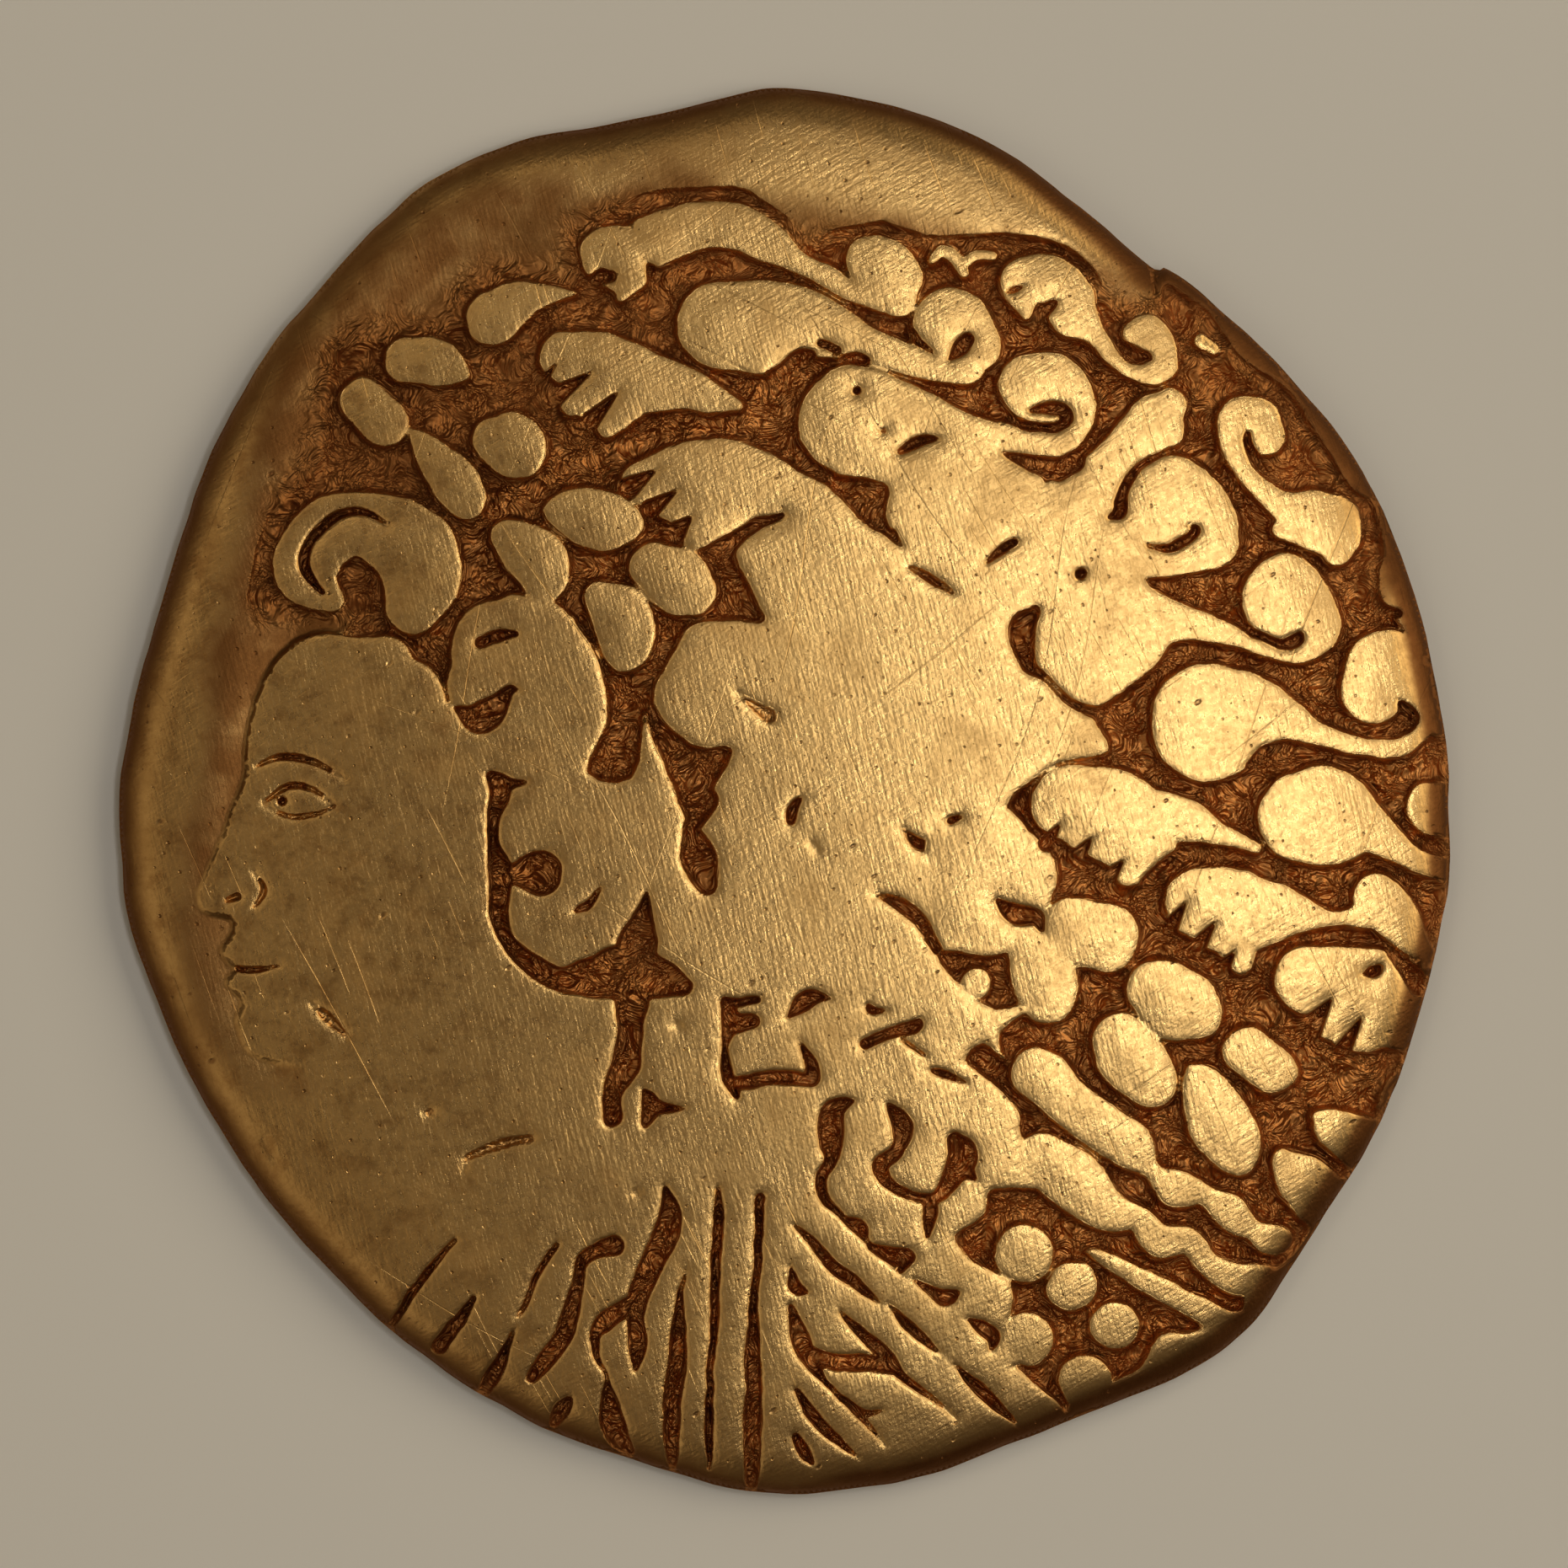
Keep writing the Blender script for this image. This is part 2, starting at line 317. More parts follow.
# x, y of the mouth, half its width, x, y of the tip
comb_teeth = [
  [-4.72, 7.35, 0.15, -4.33, 7.83], [-4.3, 7.3, 0.2, -3.72, 7.68], [-3.62, 6.85, 0.17, -3.17, 7.32],
  [-2.9, 5.6, 0.2, -2.48, 5.88], [-2.5, 5.2, 0.18, -2.08, 5.5], [-2.05, 4.75, 0.2, -1.78, 5.03],
  [4.85, -1.02, 0.14, 5.07, -0.71], [5.32, -1.42, 0.22, 5.64, -0.99], [5.9, -1.78, 0.2, 6.23, -1.4],
  [7.1, -2.66, 0.18, 7.4, -2.2], [7.58, -3.06, 0.2, 7.94, -2.57], [8.08, -3.42, 0.17, 8.33, -3.08],
  [9.75, -4.5, 0.25, 10.12, -4], [10.35, -4.95, 0.18, 10.7, -4.35],
]
print("cuts in the curls:", len(curl_grooves), "teeth:", len(comb_teeth))

# %% [markdown]
# Before the ear hangs a side lock with deep, dark gaps round it. At the nape the tresses are worn
# so far that only broken cuts are left between them. Both are drawn by what is cut away.

# %% Gaps round the side lock and at the nape
side_lock = [
  [-5.5, 0.25, 0.1, -5.3, 0, 0.22, -5.38, -0.5, 0.13, -5.4, -1, 0.11, -5.3, -1.5, 0.22, -5.3, -2.1, 0.2,
    -5.2, -2.7, 0.16, -4.75, -3.2, 0.2, -4.1, -3.55, 0.25, -3.5, -3.5, 0.4, -2.9, -3.4, 0.5,
    -2.3, -3.5, 0.38, -1.85, -3.65, 0.18],
  [-4.75, 0.12, 0.03, -5.05, 0.1, 0.1, -5.3, 0.1, 0.2],
  [-2.55, -1.9, 0.03, -2.6, -2.4, 0.18, -2.75, -2.9, 0.4],
  [-2.85, -3.9, 0.35, -2.88, -4.5, 0.25, -2.95, -5.1, 0.27, -3.2, -5.7, 0.18, -3.22, -6.1, 0.18],
  [-5, -1.6, 0.2, -4.6, -1.55, 0.4, -4.5, -1.6, 0.38],
  [-3.85, -2.3, 0.06, -3.6, -2.15, 0.08, -3.42, -1.85, 0.03],
  [-2.62, -5.6, 0.03, -2.5, -5.9, 0.18, -2.6, -6.2, 0.08],
  [-2.5, -5.92, 0.17, -1.87, -5.93, 0.02],
]
nape = [
  [-1.1, -3.95, 0.12, -1, -4.3, 0.18, -1.1, -4.8, 0.06, -1.1, -5.3, 0.13, -0.9, -5.7, 0.08],
  [-1.1, -3.95, 0.1, -0.5, -3.9, 0.07],
  [-0.95, -4.35, 0.2, -0.6, -4.3, 0.15],
  [-1, -5.5, 0.12, -0.5, -5.4, 0.14, 0, -5.35, 0.14, 0.5, -5.45, 0.12],
  [0.28, -4.7, 0.02, 0.45, -5.1, 0.12, 0.5, -5.4, 0.15],
  [0.05, -4.25, 0.03, 0.3, -3.95, 0.17, 0.55, -3.85, 0.13, 0.85, -3.9, 0.03],
  [1.55, -4, 0.05, 1.6, -4.1, 0.09, 1.85, -4.1, 0.02],
  [1.5, -4.75, 0.1, 1.9, -4.55, 0.1, 2.4, -4.4, 0.12, 2.5, -4.3, 0.05],
  [2.2, -4.65, 0.05, 2.6, -4.95, 0.04],
  [2.75, -5.25, 0.05, 3, -5.3, 0.08, 3.4, -5.45, 0.03],
  [1.3, -5.8, 0.04, 0.95, -5.95, 0.2, 0.85, -6.4, 0.24, 0.85, -6.85, 0.14, 0.68, -7.2, 0.12,
    0.72, -7.6, 0.09, 1.05, -7.95, 0.06, 1.5, -8.4, 0.05, 2.15, -9.05, 0.02],
  [1.1, -8, 0.05, 1.4, -8.15, 0.13, 1.5, -8.3, 0.08],
  [1.6, -8.55, 0.07, 2, -8.7, 0.18, 2.3, -8.7, 0.12, 2.15, -8.95, 0.07],
  [2.4, -9.15, 0.03, 2.75, -9.35, 0.1, 3, -9.45, 0.16, 3.2, -9.35, 0.06],
  [3.4, -9.85, 0.03, 3.75, -10.05, 0.15, 3.9, -10.2, 0.13, 3.85, -10.45, 0.03],
  [1.95, -5.85, 0.04, 2.2, -6.2, 0.2, 2.1, -6.7, 0.13, 1.8, -7, 0.16, 1.95, -7.35, 0.12, 2.4, -7.6, 0.09,
    2.85, -7.6, 0.13, 3.1, -7.2, 0.2, 3.3, -6.8, 0.28, 3.15, -6.5, 0.15],
  [2.7, -7.7, 0.14, 2.7, -8, 0.14, 2.68, -8.35, 0.03],
  [3.3, -7, 0.2, 3.55, -7.25, 0.04],
  [0.3, -0.15, 0.02, 0.15, -0.35, 0.1, 0.1, -0.6, 0.08],
  [3.1, -0.6, 0.08, 3.25, -0.55, 0.05],
  [4.25, -10.75, 0.02, 4.6, -10.9, 0.1, 4.95, -11.15, 0.15, 5.25, -11.65, 0.02],
]
print("gaps:", len(side_lock), "at the lock,", len(nape), "at the nape")

# %% [markdown]
# Below the neck the long folds of the dress fan out, cut as straight grooves that fork and fade.
# The plain field has a few faint marks besides, which are kept apart because they hardly sink in.

# %% Folds of the dress and faint marks
drapery = [
  [-7.45, -10.2, 0.08, -7.3, -9.95, 0.08, -6.9, -9.3, 0.08, -6.5, -8.8, 0.07, -6.1, -8.4, 0.04],
  [-6.45, -10.4, 0.14, -6.15, -9.95, 0.12, -5.8, -9.5, 0.06],
  [-5.65, -11.3, 0.12, -5.45, -10.9, 0.16, -5.2, -10.4, 0.08, -5.05, -10.1, 0.04],
  [-4.95, -9.8, 0.05, -4.55, -8.95, 0.06, -4.2, -8.5, 0.05],
  [-4.7, -11, 0.1, -4.45, -10.7, 0.17, -4.15, -10.2, 0.18, -4, -9.8, 0.15, -3.87, -9.3, 0.12,
    -3.78, -8.85, 0.12, -3.5, -8.6, 0.16, -3.15, -8.5, 0.2],
  [-2.25, -7.4, 0.05, -2.12, -7.9, 0.22, -2.25, -8.4, 0.24, -2.45, -8.8, 0.22, -2.7, -9.4, 0.22,
    -2.78, -9.9, 0.17, -2.75, -10.4, 0.16, -2.75, -10.85, 0.04],
  [-2.9, -9.6, 0.15, -3.3, -9.9, 0.2, -3.55, -10.15, 0.12, -3.5, -10.5, 0.07, -3.3, -11, 0.04,
    -3.25, -11.4, 0.16, -3.2, -11.9, 0.24, -2.9, -12.4, 0.12],
  [-4.3, -11.85, 0.1, -4.15, -11.6, 0.17, -4, -11.4, 0.08],
  [-2.1, -12.7, 0.06, -2.12, -12, 0.14, -2.05, -11, 0.18, -2, -10.2, 0.15, -1.93, -9.5, 0.07,
    -1.85, -8.95, 0.02],
  [-1.42, -12.7, 0.03, -1.42, -12, 0.09, -1.38, -11, 0.07, -1.32, -10, 0.08, -1.3, -9, 0.1, -1.25, -8, 0.1,
    -1.25, -7.45, 0.05],
  [-0.62, -13, 0.12, -0.62, -12, 0.18, -0.6, -11, 0.15, -0.6, -10.5, 0.15, -0.57, -9.5, 0.08,
    -0.5, -8.5, 0.08, -0.45, -7.6, 0.1],
  [0.15, -8.15, 0.04, 0.5, -8.45, 0.08, 1, -8.95, 0.13, 1.4, -9.3, 0.1, 1.8, -9.6, 0.03],
  [1.95, -9.6, 0.02, 2.3, -9.95, 0.1, 2.6, -10.25, 0.08, 2.9, -10.5, 0.02],
  [3.15, -10.7, 0.03, 3.6, -11.15, 0.13, 3.95, -11.5, 0.12, 4.4, -11.9, 0.02],
  [0.1, -8.9, 0.03, 0.2, -9.25, 0.13, 0.45, -9.35, 0.03],
  [1.05, -9.75, 0.04, 1.4, -10.1, 0.1, 1.8, -10.5, 0.14, 2.2, -10.95, 0.1, 2.6, -11.25, 0.06,
    3.2, -11.75, 0.02],
  [0.12, -9.6, 0.04, 0.25, -10.1, 0.16, 0.4, -10.55, 0.17, 0.65, -10.95, 0.08, 0.95, -11.25, 0.05,
    1.3, -11.55, 0.08, 1.9, -12.2, 0.02],
  [0.5, -10.5, 0.14, 0.9, -10.65, 0.17, 1.5, -10.7, 0.16, 2, -10.8, 0.12],
  [1.1, -11.35, 0.04, 1.5, -11.6, 0.06, 1.85, -11.55, 0.03],
  [0.2, -11.2, 0.05, 0.5, -11.7, 0.13, 0.9, -12.1, 0.1, 1.4, -12.5, 0.02],
  [0.2, -12.1, 0.08, 0.35, -12.4, 0.12, 0.5, -12.6, 0.05],
]
# marks hardly cut into the tops
faint_marks = [
  [-6, -7.1, 0.02, -5.9, -6.85, 0.08, -5.4, -6.65, 0.12, -4.75, -6.5, 0.1], [-6.6, -6, 0.1],
  [-8.8, -4, 0.05, -8.5, -4.3, 0.12, -8.2, -4.6, 0.06], [-9.7, -6.6, 0.06, -9.5, -6.95, 0.03],
  [-2.75, -7.5, 0.06], [-2, -4.4, 0.07], [-0.9, 1.8, 0.02, -0.55, 1.5, 0.1, -0.3, 1.35, 0.15],
  [0.45, -1, 0.04, 0.6, -1.15, 0.03],
]
print("folds:", len(drapery), "faint marks:", len(faint_marks))

# %% [markdown]
# The back lies on the table, so it is plainer: a striding horse in simple bands, a wheel above it
# and beads round them. The wheel and the ring of beads are worked out from a few numbers.

# %% The horse, the wheel and the beads of the back
horse = [
  [4.2, 1.2, 0.9, 2.8, 0.9, 1.15, 0.8, 0.6, 0.8, -1.2, 0.8, 0.95, -2.6, 1.6, 1.1, -3.4, 3, 0.7,
    -4.2, 4.2, 0.5, -5.2, 4.6, 0.6, -6.4, 3.7, 0.3],
  [-3.2, 0.9, 0.6, -4.8, 0, 0.42, -5.6, -1.6, 0.34, -6.8, -2.4, 0.36],
  [-2.2, 0.2, 0.5, -2.6, -1.8, 0.38, -2.2, -3.6, 0.34, -3, -4.6, 0.36],
  [3, 0.2, 0.6, 2.2, -1.8, 0.42, 3, -3.4, 0.34, 2.4, -4.8, 0.36],
  [4.4, 0.8, 0.6, 5.4, -0.8, 0.42, 4.8, -2.6, 0.34, 5.8, -4, 0.36],
  [5, 1.6, 0.36, 6.4, 2.2, 0.32, 7.2, 1, 0.3, 7.6, -0.6, 0.32],
  [-2.2, 3.6, 0.3, -2.9, 4.9, 0.3, -4.1, 5.6, 0.25],
]
WHEEL = {"x": 1.4, "y": 5, "radius": 1.7, "rim": 0.26, "hub": 0.45, "spokes": 6, "spoke": 0.2}
WHEEL_SIDES = 12
FIELD_BEADS = {"ring": 9.1, "count": 20, "radius": 0.36}


def turns(count, closed=0):
    """Even turns round a circle, in radians; a closed run ends where it began."""
    return [i / count * 2 * math.pi for i in range(count + closed)]


def wheel_bands():
    x, y, radius = WHEEL["x"], WHEEL["y"], WHEEL["radius"]
    on_ring = [(x + radius * math.cos(t), y + radius * math.sin(t)) for t in turns(WHEEL_SIDES, 1)]
    ring = [v for point in on_ring for v in (*point, WHEEL["rim"])]
    spokes = [[x, y, WHEEL["spoke"], x + radius * math.cos(t), y + radius * math.sin(t), WHEEL["spoke"]]
              for t in turns(WHEEL["spokes"])]
    return [[x, y, WHEEL["hub"]], ring] + spokes


def bead_ring():
    ring, radius = FIELD_BEADS["ring"], FIELD_BEADS["radius"]
    return [[ring * math.cos(t), ring * math.sin(t), radius] for t in turns(FIELD_BEADS["count"])]


print("bands of the back:", len(horse + wheel_bands() + bead_ring()))

# %% [markdown]
# A curve through given points: Catmull and Rom's cubic passes through every point and turns evenly,
# so no handles have to be set. The same cubic also runs a band's radius from circle to circle.

# %% Curves
CURVE_STEPS = 6


def cubic(a, b, c, d, t):
    return 0.5 * (2 * b + (c - a) * t + (2 * a - 5 * b + 4 * c - d) * t * t
                  + (3 * b - a - 3 * c + d) * t ** 3)


def closed_curve(points, steps=CURVE_STEPS):
    p = np.array(points, float)
    share = np.arange(steps)[:, None, None] / steps
    made = cubic(np.roll(p, 1, 0), p, np.roll(p, -1, 0), np.roll(p, -2, 0), share)
    return made.transpose(1, 0, 2).reshape(-1, 2)


def band_circles(row, steps=CURVE_STEPS):
    p = np.array(row, float).reshape(-1, 3)
    if len(p) == 1:
        return p
    run = np.vstack([2 * p[0] - p[1], p, 2 * p[-1] - p[-2]])
    share = np.arange(steps)[:, None, None] / steps
    made = cubic(run[:-3], run[1:-2], run[2:-1], run[3:], share).transpose(1, 0, 2).reshape(-1, 3)
    made = np.vstack([made, p[-1]])
    made[:, 2] = np.maximum(made[:, 2], 0.01)
    return made


RIM = closed_curve(blank)
MIDDLE = (RIM.min(0) + RIM.max(0)) / 2
print("rim, mm:", np.round(RIM.max(0) - RIM.min(0), 2))

# %% [markdown]
# Relief could be sculpted by hand or cut with booleans. A distance field does it with sums: for
# every point of a fine grid it holds how far the nearest edge is, less than zero inside a shape.
# Joining shapes takes the lesser of two distances, cutting takes the greater, and a wall of any
# slope is a ramp of the distance.

# %% Distance fields
GRID = 0.05
REACH = 0.6              # farther than this from an edge the exact distance doesn't matter
grid_low = RIM.min(0) - 0.4
grid_x = np.arange(grid_low[0], RIM.max(0)[0] + 0.4, GRID)
grid_y = np.arange(grid_low[1], RIM.max(0)[1] + 0.4, GRID)
GX, GY = np.meshgrid(grid_x, grid_y)
print("grid:", GX.shape, "points", GRID, "mm apart")


def near_segment(field, a, b, reach):
    """Lower the field round one piece of a band, from circle a to circle b."""
    out = max(a[2], b[2]) + reach
    i0, i1 = np.searchsorted(grid_x, [min(a[0], b[0]) - out, max(a[0], b[0]) + out])
    j0, j1 = np.searchsorted(grid_y, [min(a[1], b[1]) - out, max(a[1], b[1]) + out])
    if i0 == i1 or j0 == j1:
        return
    x, y = GX[j0:j1, i0:i1] - a[0], GY[j0:j1, i0:i1] - a[1]
    dx, dy = b[0] - a[0], b[1] - a[1]
    t = np.clip((x * dx + y * dy) / (dx * dx + dy * dy + 1e-12), 0, 1)
    gap = np.hypot(x - t * dx, y - t * dy) - a[2] - (b[2] - a[2]) * t
    np.minimum(field[j0:j1, i0:i1], gap, out=field[j0:j1, i0:i1])


def bands_field(rows, reach=REACH):
    """The distance to the nearest of many bands."""
    field = np.full(GX.shape, 9.0)
    for row in rows:
        circles = band_circles(row)
        near_segment(field, circles[0], circles[0], reach)
        for a, b in zip(circles[:-1], circles[1:]):
            near_segment(field, a, b, reach)
    return field


def outline_field(loop, reach=REACH):
    """The distance to a closed outline; each edge that a row crosses turns inside to outside."""
    field = np.full(GX.shape, reach)
    inside = np.zeros(GX.shape, bool)
    for a, b in zip(loop, np.roll(loop, -1, 0)):
        near_segment(field, (*a, 0), (*b, 0), reach)
        low, high = sorted((a[1], b[1]))
        j0, j1 = np.searchsorted(grid_y, [low, high])
        if j1 > j0:
            cross = a[0] + (grid_y[j0:j1] - a[1]) / (b[1] - a[1]) * (b[0] - a[0])
            inside[j0:j1] ^= grid_x[None, :] > cross[:, None]
    return np.where(inside, -field, field)


# %% [markdown]
# Cut metal is never quite even. Smooth random bumps, worked out from the place alone so that they
# come out the same each time, shift every edge a little. Folded at zero, the same bumps become
# sharp creases, like those of crumpled foil, and roughen the sunken ground.

# %% Noise
def noise(x, y, size, seed):
    """Smooth bumps from -1 to 1, about `size` millimetres across."""
    u, v = x / size + 31.7 * seed, y / size + 17.3 * seed
    i, j = np.floor(u), np.floor(v)
    f, g = u - i, v - j
    f, g = f * f * (3 - 2 * f), g * g * (3 - 2 * g)

    def corner(di, dj):
        wave = np.sin((i + di) * 127.1 + (j + dj) * 311.7 + seed * 74.7) * 43758.5453
        return (wave - np.floor(wave)) * 2 - 1

    low = corner(0, 0) * (1 - f) + corner(1, 0) * f
    high = corner(0, 1) * (1 - f) + corner(1, 1) * f
    return low * (1 - g) + high * g


def crumbs(x, y, size, seed, layers=3):
    """Several sizes of bumps on each other, each layer half the size and height."""
    return sum(noise(x, y, size / 2 ** k, seed + k) / 2 ** k for k in range(layers))


def creases(x, y, size, seed):
    """Crumpled metal: the bumps folded at zero, which leaves sharp valleys."""
    return 2 * np.abs(crumbs(x, y, size, seed, 2)) - 1


def look_up(field, x, y):
    """The field's value at any points, between those of the grid."""
    u = np.clip((x - grid_x[0]) / GRID, 0, len(grid_x) - 1.001)
    v = np.clip((y - grid_y[0]) / GRID, 0, len(grid_y) - 1.001)
    i, j = u.astype(int), v.astype(int)
    f, g = u - i, v - j
    low = field[j, i] * (1 - f) + field[j, i + 1] * f
    high = field[j + 1, i] * (1 - f) + field[j + 1, i + 1] * f
    return low * (1 - g) + high * g


EDGE_WANDER = 0.036      # how far noise moves an edge sideways
WANDER_SIZE = 0.6


def hand_cut(field):
    """The same shapes with slightly uneven edges, as a hand-cut die leaves them."""
    across = EDGE_WANDER * crumbs(GX, GY, WANDER_SIZE, 3)
    along = EDGE_WANDER * crumbs(GX, GY, WANDER_SIZE, 9)
    return look_up(field, GX + across, GY + along)


# %% [markdown]
# Now the shapes become fields and are joined. The ground is sunk, less the raised work and the
# face that stand in it. Grooves and teeth are cut last. A narrow cut must get down fast to be seen
# at all, so its distances are stretched, which makes its walls steeper; a faint mark's are shrunk.

# %% The coin's fields
GROOVE_STEEPNESS = 1.7
TOOTH_STEEPNESS = 2.6
TOOTH_LENGTH = 1.2       # the last bit of a wedge is too narrow to show, so it is made longer
TOOTH_TIP = 0.01
FAINTNESS = 0.35
RIM_REACH = 2.4
to_rim = outline_field(RIM, RIM_REACH)
in_hollow = outline_field(closed_curve(hollow), HOLLOW_SLOPE + 0.1)
in_face = hand_cut(outline_field(closed_curve(face)))
in_ground = outline_field(closed_curve(ground, 3))
raised = bands_field(wreath_leaves + curls + ribbons + beads)
grooves = bands_field(curl_grooves + side_lock + nape + drapery)
teeth = bands_field([[x, y, half, x + TOOTH_LENGTH * (tip_x - x), y + TOOTH_LENGTH * (tip_y - y), TOOTH_TIP]
                     for x, y, half, tip_x, tip_y in comb_teeth])
open_ground = np.minimum(in_ground, bands_field(rivers))
sunk = np.maximum(open_ground, np.maximum(-raised, -in_face))
sunk = hand_cut(np.minimum(sunk, GROOVE_STEEPNESS * grooves))
sunk = np.minimum(sunk, TOOTH_STEEPNESS * teeth)
sunk = np.minimum(sunk, bands_field(face_lines))
faint = hand_cut(bands_field(faint_marks))
sunk = np.minimum(sunk, np.where(faint < 0, FAINTNESS * faint, faint))
lifted = np.minimum(hand_cut(raised), in_face)
on_back = hand_cut(bands_field(horse + wheel_bands() + bead_ring()))
print("grid points:", GX.size, "sunk share:", round(float((sunk < 0).mean()), 3))

# %% [markdown]
# The front is a low dome that rolls over at the rim. Inside a soft border it sinks into a shallow
# hollow, and between the curls into creased ground with steep walls. Where the ground's outer
# border lies in the hollow, the two run together without a wall. Wear has lowered all the tops to
# one level: they fall off a little toward their edges, like a cushion, and end in a small round,
# which is what catches the light.

# %% The height of the front
WORN_ROUND = 0.018       # how much the edge of a top is worn down
WORN_WIDTH = 0.06
CUSHION = 0.030          # how far the tops fall off toward their edges
CUSHION_WIDTH = 0.45
FLOOR_SAG = 0.07         # wide ground is a little deeper in its middle
CREASE_HEIGHT = 0.070
CREASE_SIZE = 0.75
CREASE_START = 0.14      # the creases begin this far in from the top of a wall
HOLLOW_ROUGH = 0.012
WAVES = ((2.6, 0.012, 41), (0.8, 0.005, 44))     # size, height and seed of the tops' gentle waves


def ramp(v):
    t = np.clip(v, 0, 1)
    return t * t * (3 - 2 * t)


def blurred(field, cells):
    """The average over a square of cells, taken twice, so that no crease is left."""
    steps = range(-cells, cells + 1)
    for axis in (0, 1, 0, 1):
        field = sum(np.roll(field, k, axis) for k in steps) / len(steps)
    return field


way_in = np.where(raised < 0, np.clip(sunk, 0, CUSHION_WIDTH), CUSHION_WIDTH)
cushion = blurred(way_in, 3) / CUSHION_WIDTH


def roll(inset, amount):
    """How far a quarter round has dropped at this distance from the rim."""
    t = np.clip(1 - inset / EDGE_ROUND, 0, 1)
    return amount * (1 - np.sqrt(1 - t * t))


def wall(depth_inside):
    """0 on the worn top, rounding over its edge, down to 1 at the foot of the wall."""
    worn = WORN_ROUND / GROUND_DEPTH * np.exp(-np.abs(depth_inside) / WORN_WIDTH)
    foot = 1 - (1 - np.clip(depth_inside / WALL, 0, 1)) ** 2
    return foot + worn * (1 - foot)


def fade_down(y):
    """The hollow is shallower toward the lower edge."""
    return FADED_SHARE + (1 - FADED_SHARE) * ramp((y - FADE_BOTTOM) / (FADE_TOP - FADE_BOTTOM))


def open_side(x, y):
    """1 where the hollow runs into the ground without a wall of its own."""
    near = ramp((look_up(in_ground, x, y) + 0.5) / 0.4)
    return near * ramp(-look_up(in_hollow, x, y) / 0.8) * ramp(look_up(lifted, x, y) / 0.06)


def front_height(x, y):
    inset = np.maximum(0, -look_up(to_rim, x, y))
    inside = -look_up(sunk, x, y)
    shoulder = SHOULDER_DROP * np.clip(1 - inset / SHOULDER_WIDTH, 0, 1) ** 2
    dome = CROWN_HEIGHT - DOME_SAG * (x * x + y * y) / MEAN_RADIUS ** 2 - shoulder - roll(inset, FRONT_ROLL)
    crisp = GROUND_DEPTH * wall(inside) + FLOOR_SAG * ramp((inside - 0.1) / 0.4)
    crisp = crisp - CREASE_HEIGHT * creases(x, y, CREASE_SIZE, 21) * ramp(inside / CREASE_START)
    crisp = crisp * (1 - open_side(x, y))
    soft = fade_down(y) * ramp(-look_up(in_hollow, x, y) / HOLLOW_SLOPE)
    soft_drop = HOLLOW_DEPTH * soft * wall(look_up(lifted, x, y))
    soft_drop = soft_drop + HOLLOW_ROUGH * soft * crumbs(x, y, 0.9, 5)
    edge = ramp(inset / (EDGE_ROUND * 0.4))
    waves = sum(height * noise(x, y, size, seed) for size, height, seed in WAVES)
    worn_edges = CUSHION * (1 - look_up(cushion, x, y))
    return dome + (waves - worn_edges - np.maximum(crisp, soft_drop)) * edge


print("middle, mm over the table:", np.round(front_height(np.zeros(1), np.zeros(1)), 2))


# %% [markdown]
# A regular mesh would spend most of its triangles on flat metal. Here the points follow the edges
# instead: along every wall run several level lines of the field, close together, with wider
# spaced points on the tops between them. Delaunay's triangulation joins them, and it must keep
# the level lines as edges, so no triangle cuts across a wall.

# %% Level lines and points between them
def crossings(value):
    """Where the grid's lines pass zero: the points, and which of them bound each cell."""
    points, numbers = [], []
    for dj, di in ((0, 1), (1, 0)):
        a = value[:value.shape[0] - dj, :value.shape[1] - di]
        b = value[dj:, di:]
        j, i = np.nonzero((a < 0) != (b < 0))
        t = a[j, i] / (a[j, i] - b[j, i])
        number = np.full(a.shape, -1)
        number[j, i] = np.arange(len(j)) + sum(map(len, points))
        points.append(np.stack([grid_x[i] + t * di * GRID, grid_y[j] + t * dj * GRID], 1))
        numbers.append(number)
    level, upright = numbers
    sides = np.stack([level[:-1], upright[:, 1:], level[1:], upright[:, :-1]]).reshape(4, -1)
    return np.vstack(points), sides


def spaced(run, gap):
    """Points at even steps along a run."""
    way = np.concatenate([[0], np.cumsum(np.hypot(*np.diff(run, axis=0).T))])
    at = np.linspace(0, way[-1], max(4, round(way[-1] / gap)) + 1)
    return np.stack([np.interp(at, way, run[:, k]) for k in (0, 1)], 1)


def level_lines(field, level, gap):
    """The level's lines, followed from cell to cell; a closed line ends on its first point."""
    points, sides = crossings(field - level)
    count = (sides >= 0).sum(0)
    pairs = -np.sort(-sides[:, count == 2], 0)[:2].T
    double = sides[:, count == 4]
    beside = [[] for _ in points]
    for a, b in np.vstack([pairs, double[:2].T, double[2:].T]).tolist():
        beside[a].append(b)
        beside[b].append(a)
    ends = [i for i, near in enumerate(beside) if len(near) == 1]
    seen = set()
    lines = []
    for start in ends + list(range(len(points))):
        if start in seen:
            continue
        run = [start]
        seen.add(start)
        while onward := [i for i in beside[run[-1]] if i not in seen]:
            run.append(onward[0])
            seen.add(onward[0])
        if len(run) > 6:
            closed = start in beside[run[-1]]
            lines.append(spaced(points[run + [start] * closed], gap))
    return lines


def thin(points, gap):
    """Drop points nearer than about `gap` to one kept before."""
    cell = np.floor(points / gap).astype(int)
    _, first = np.unique(cell, axis=0, return_index=True)
    points = points[np.sort(first)]
    cell = np.floor(points / gap).astype(int)
    cell -= cell.min(0) - 1
    where = np.full(cell.max(0) + 2, -1)
    where[cell[:, 0], cell[:, 1]] = np.arange(len(points))
    keep = np.ones(len(points), bool)
    for di, dj in ((-1, -1), (-1, 0), (-1, 1), (0, -1)):
        other = where[cell[:, 0] + di, cell[:, 1] + dj]
        near = np.hypot(*(points - points[other]).T) < 0.62 * gap
        keep &= ~((other >= 0) & near & keep[other])
    return points[keep]


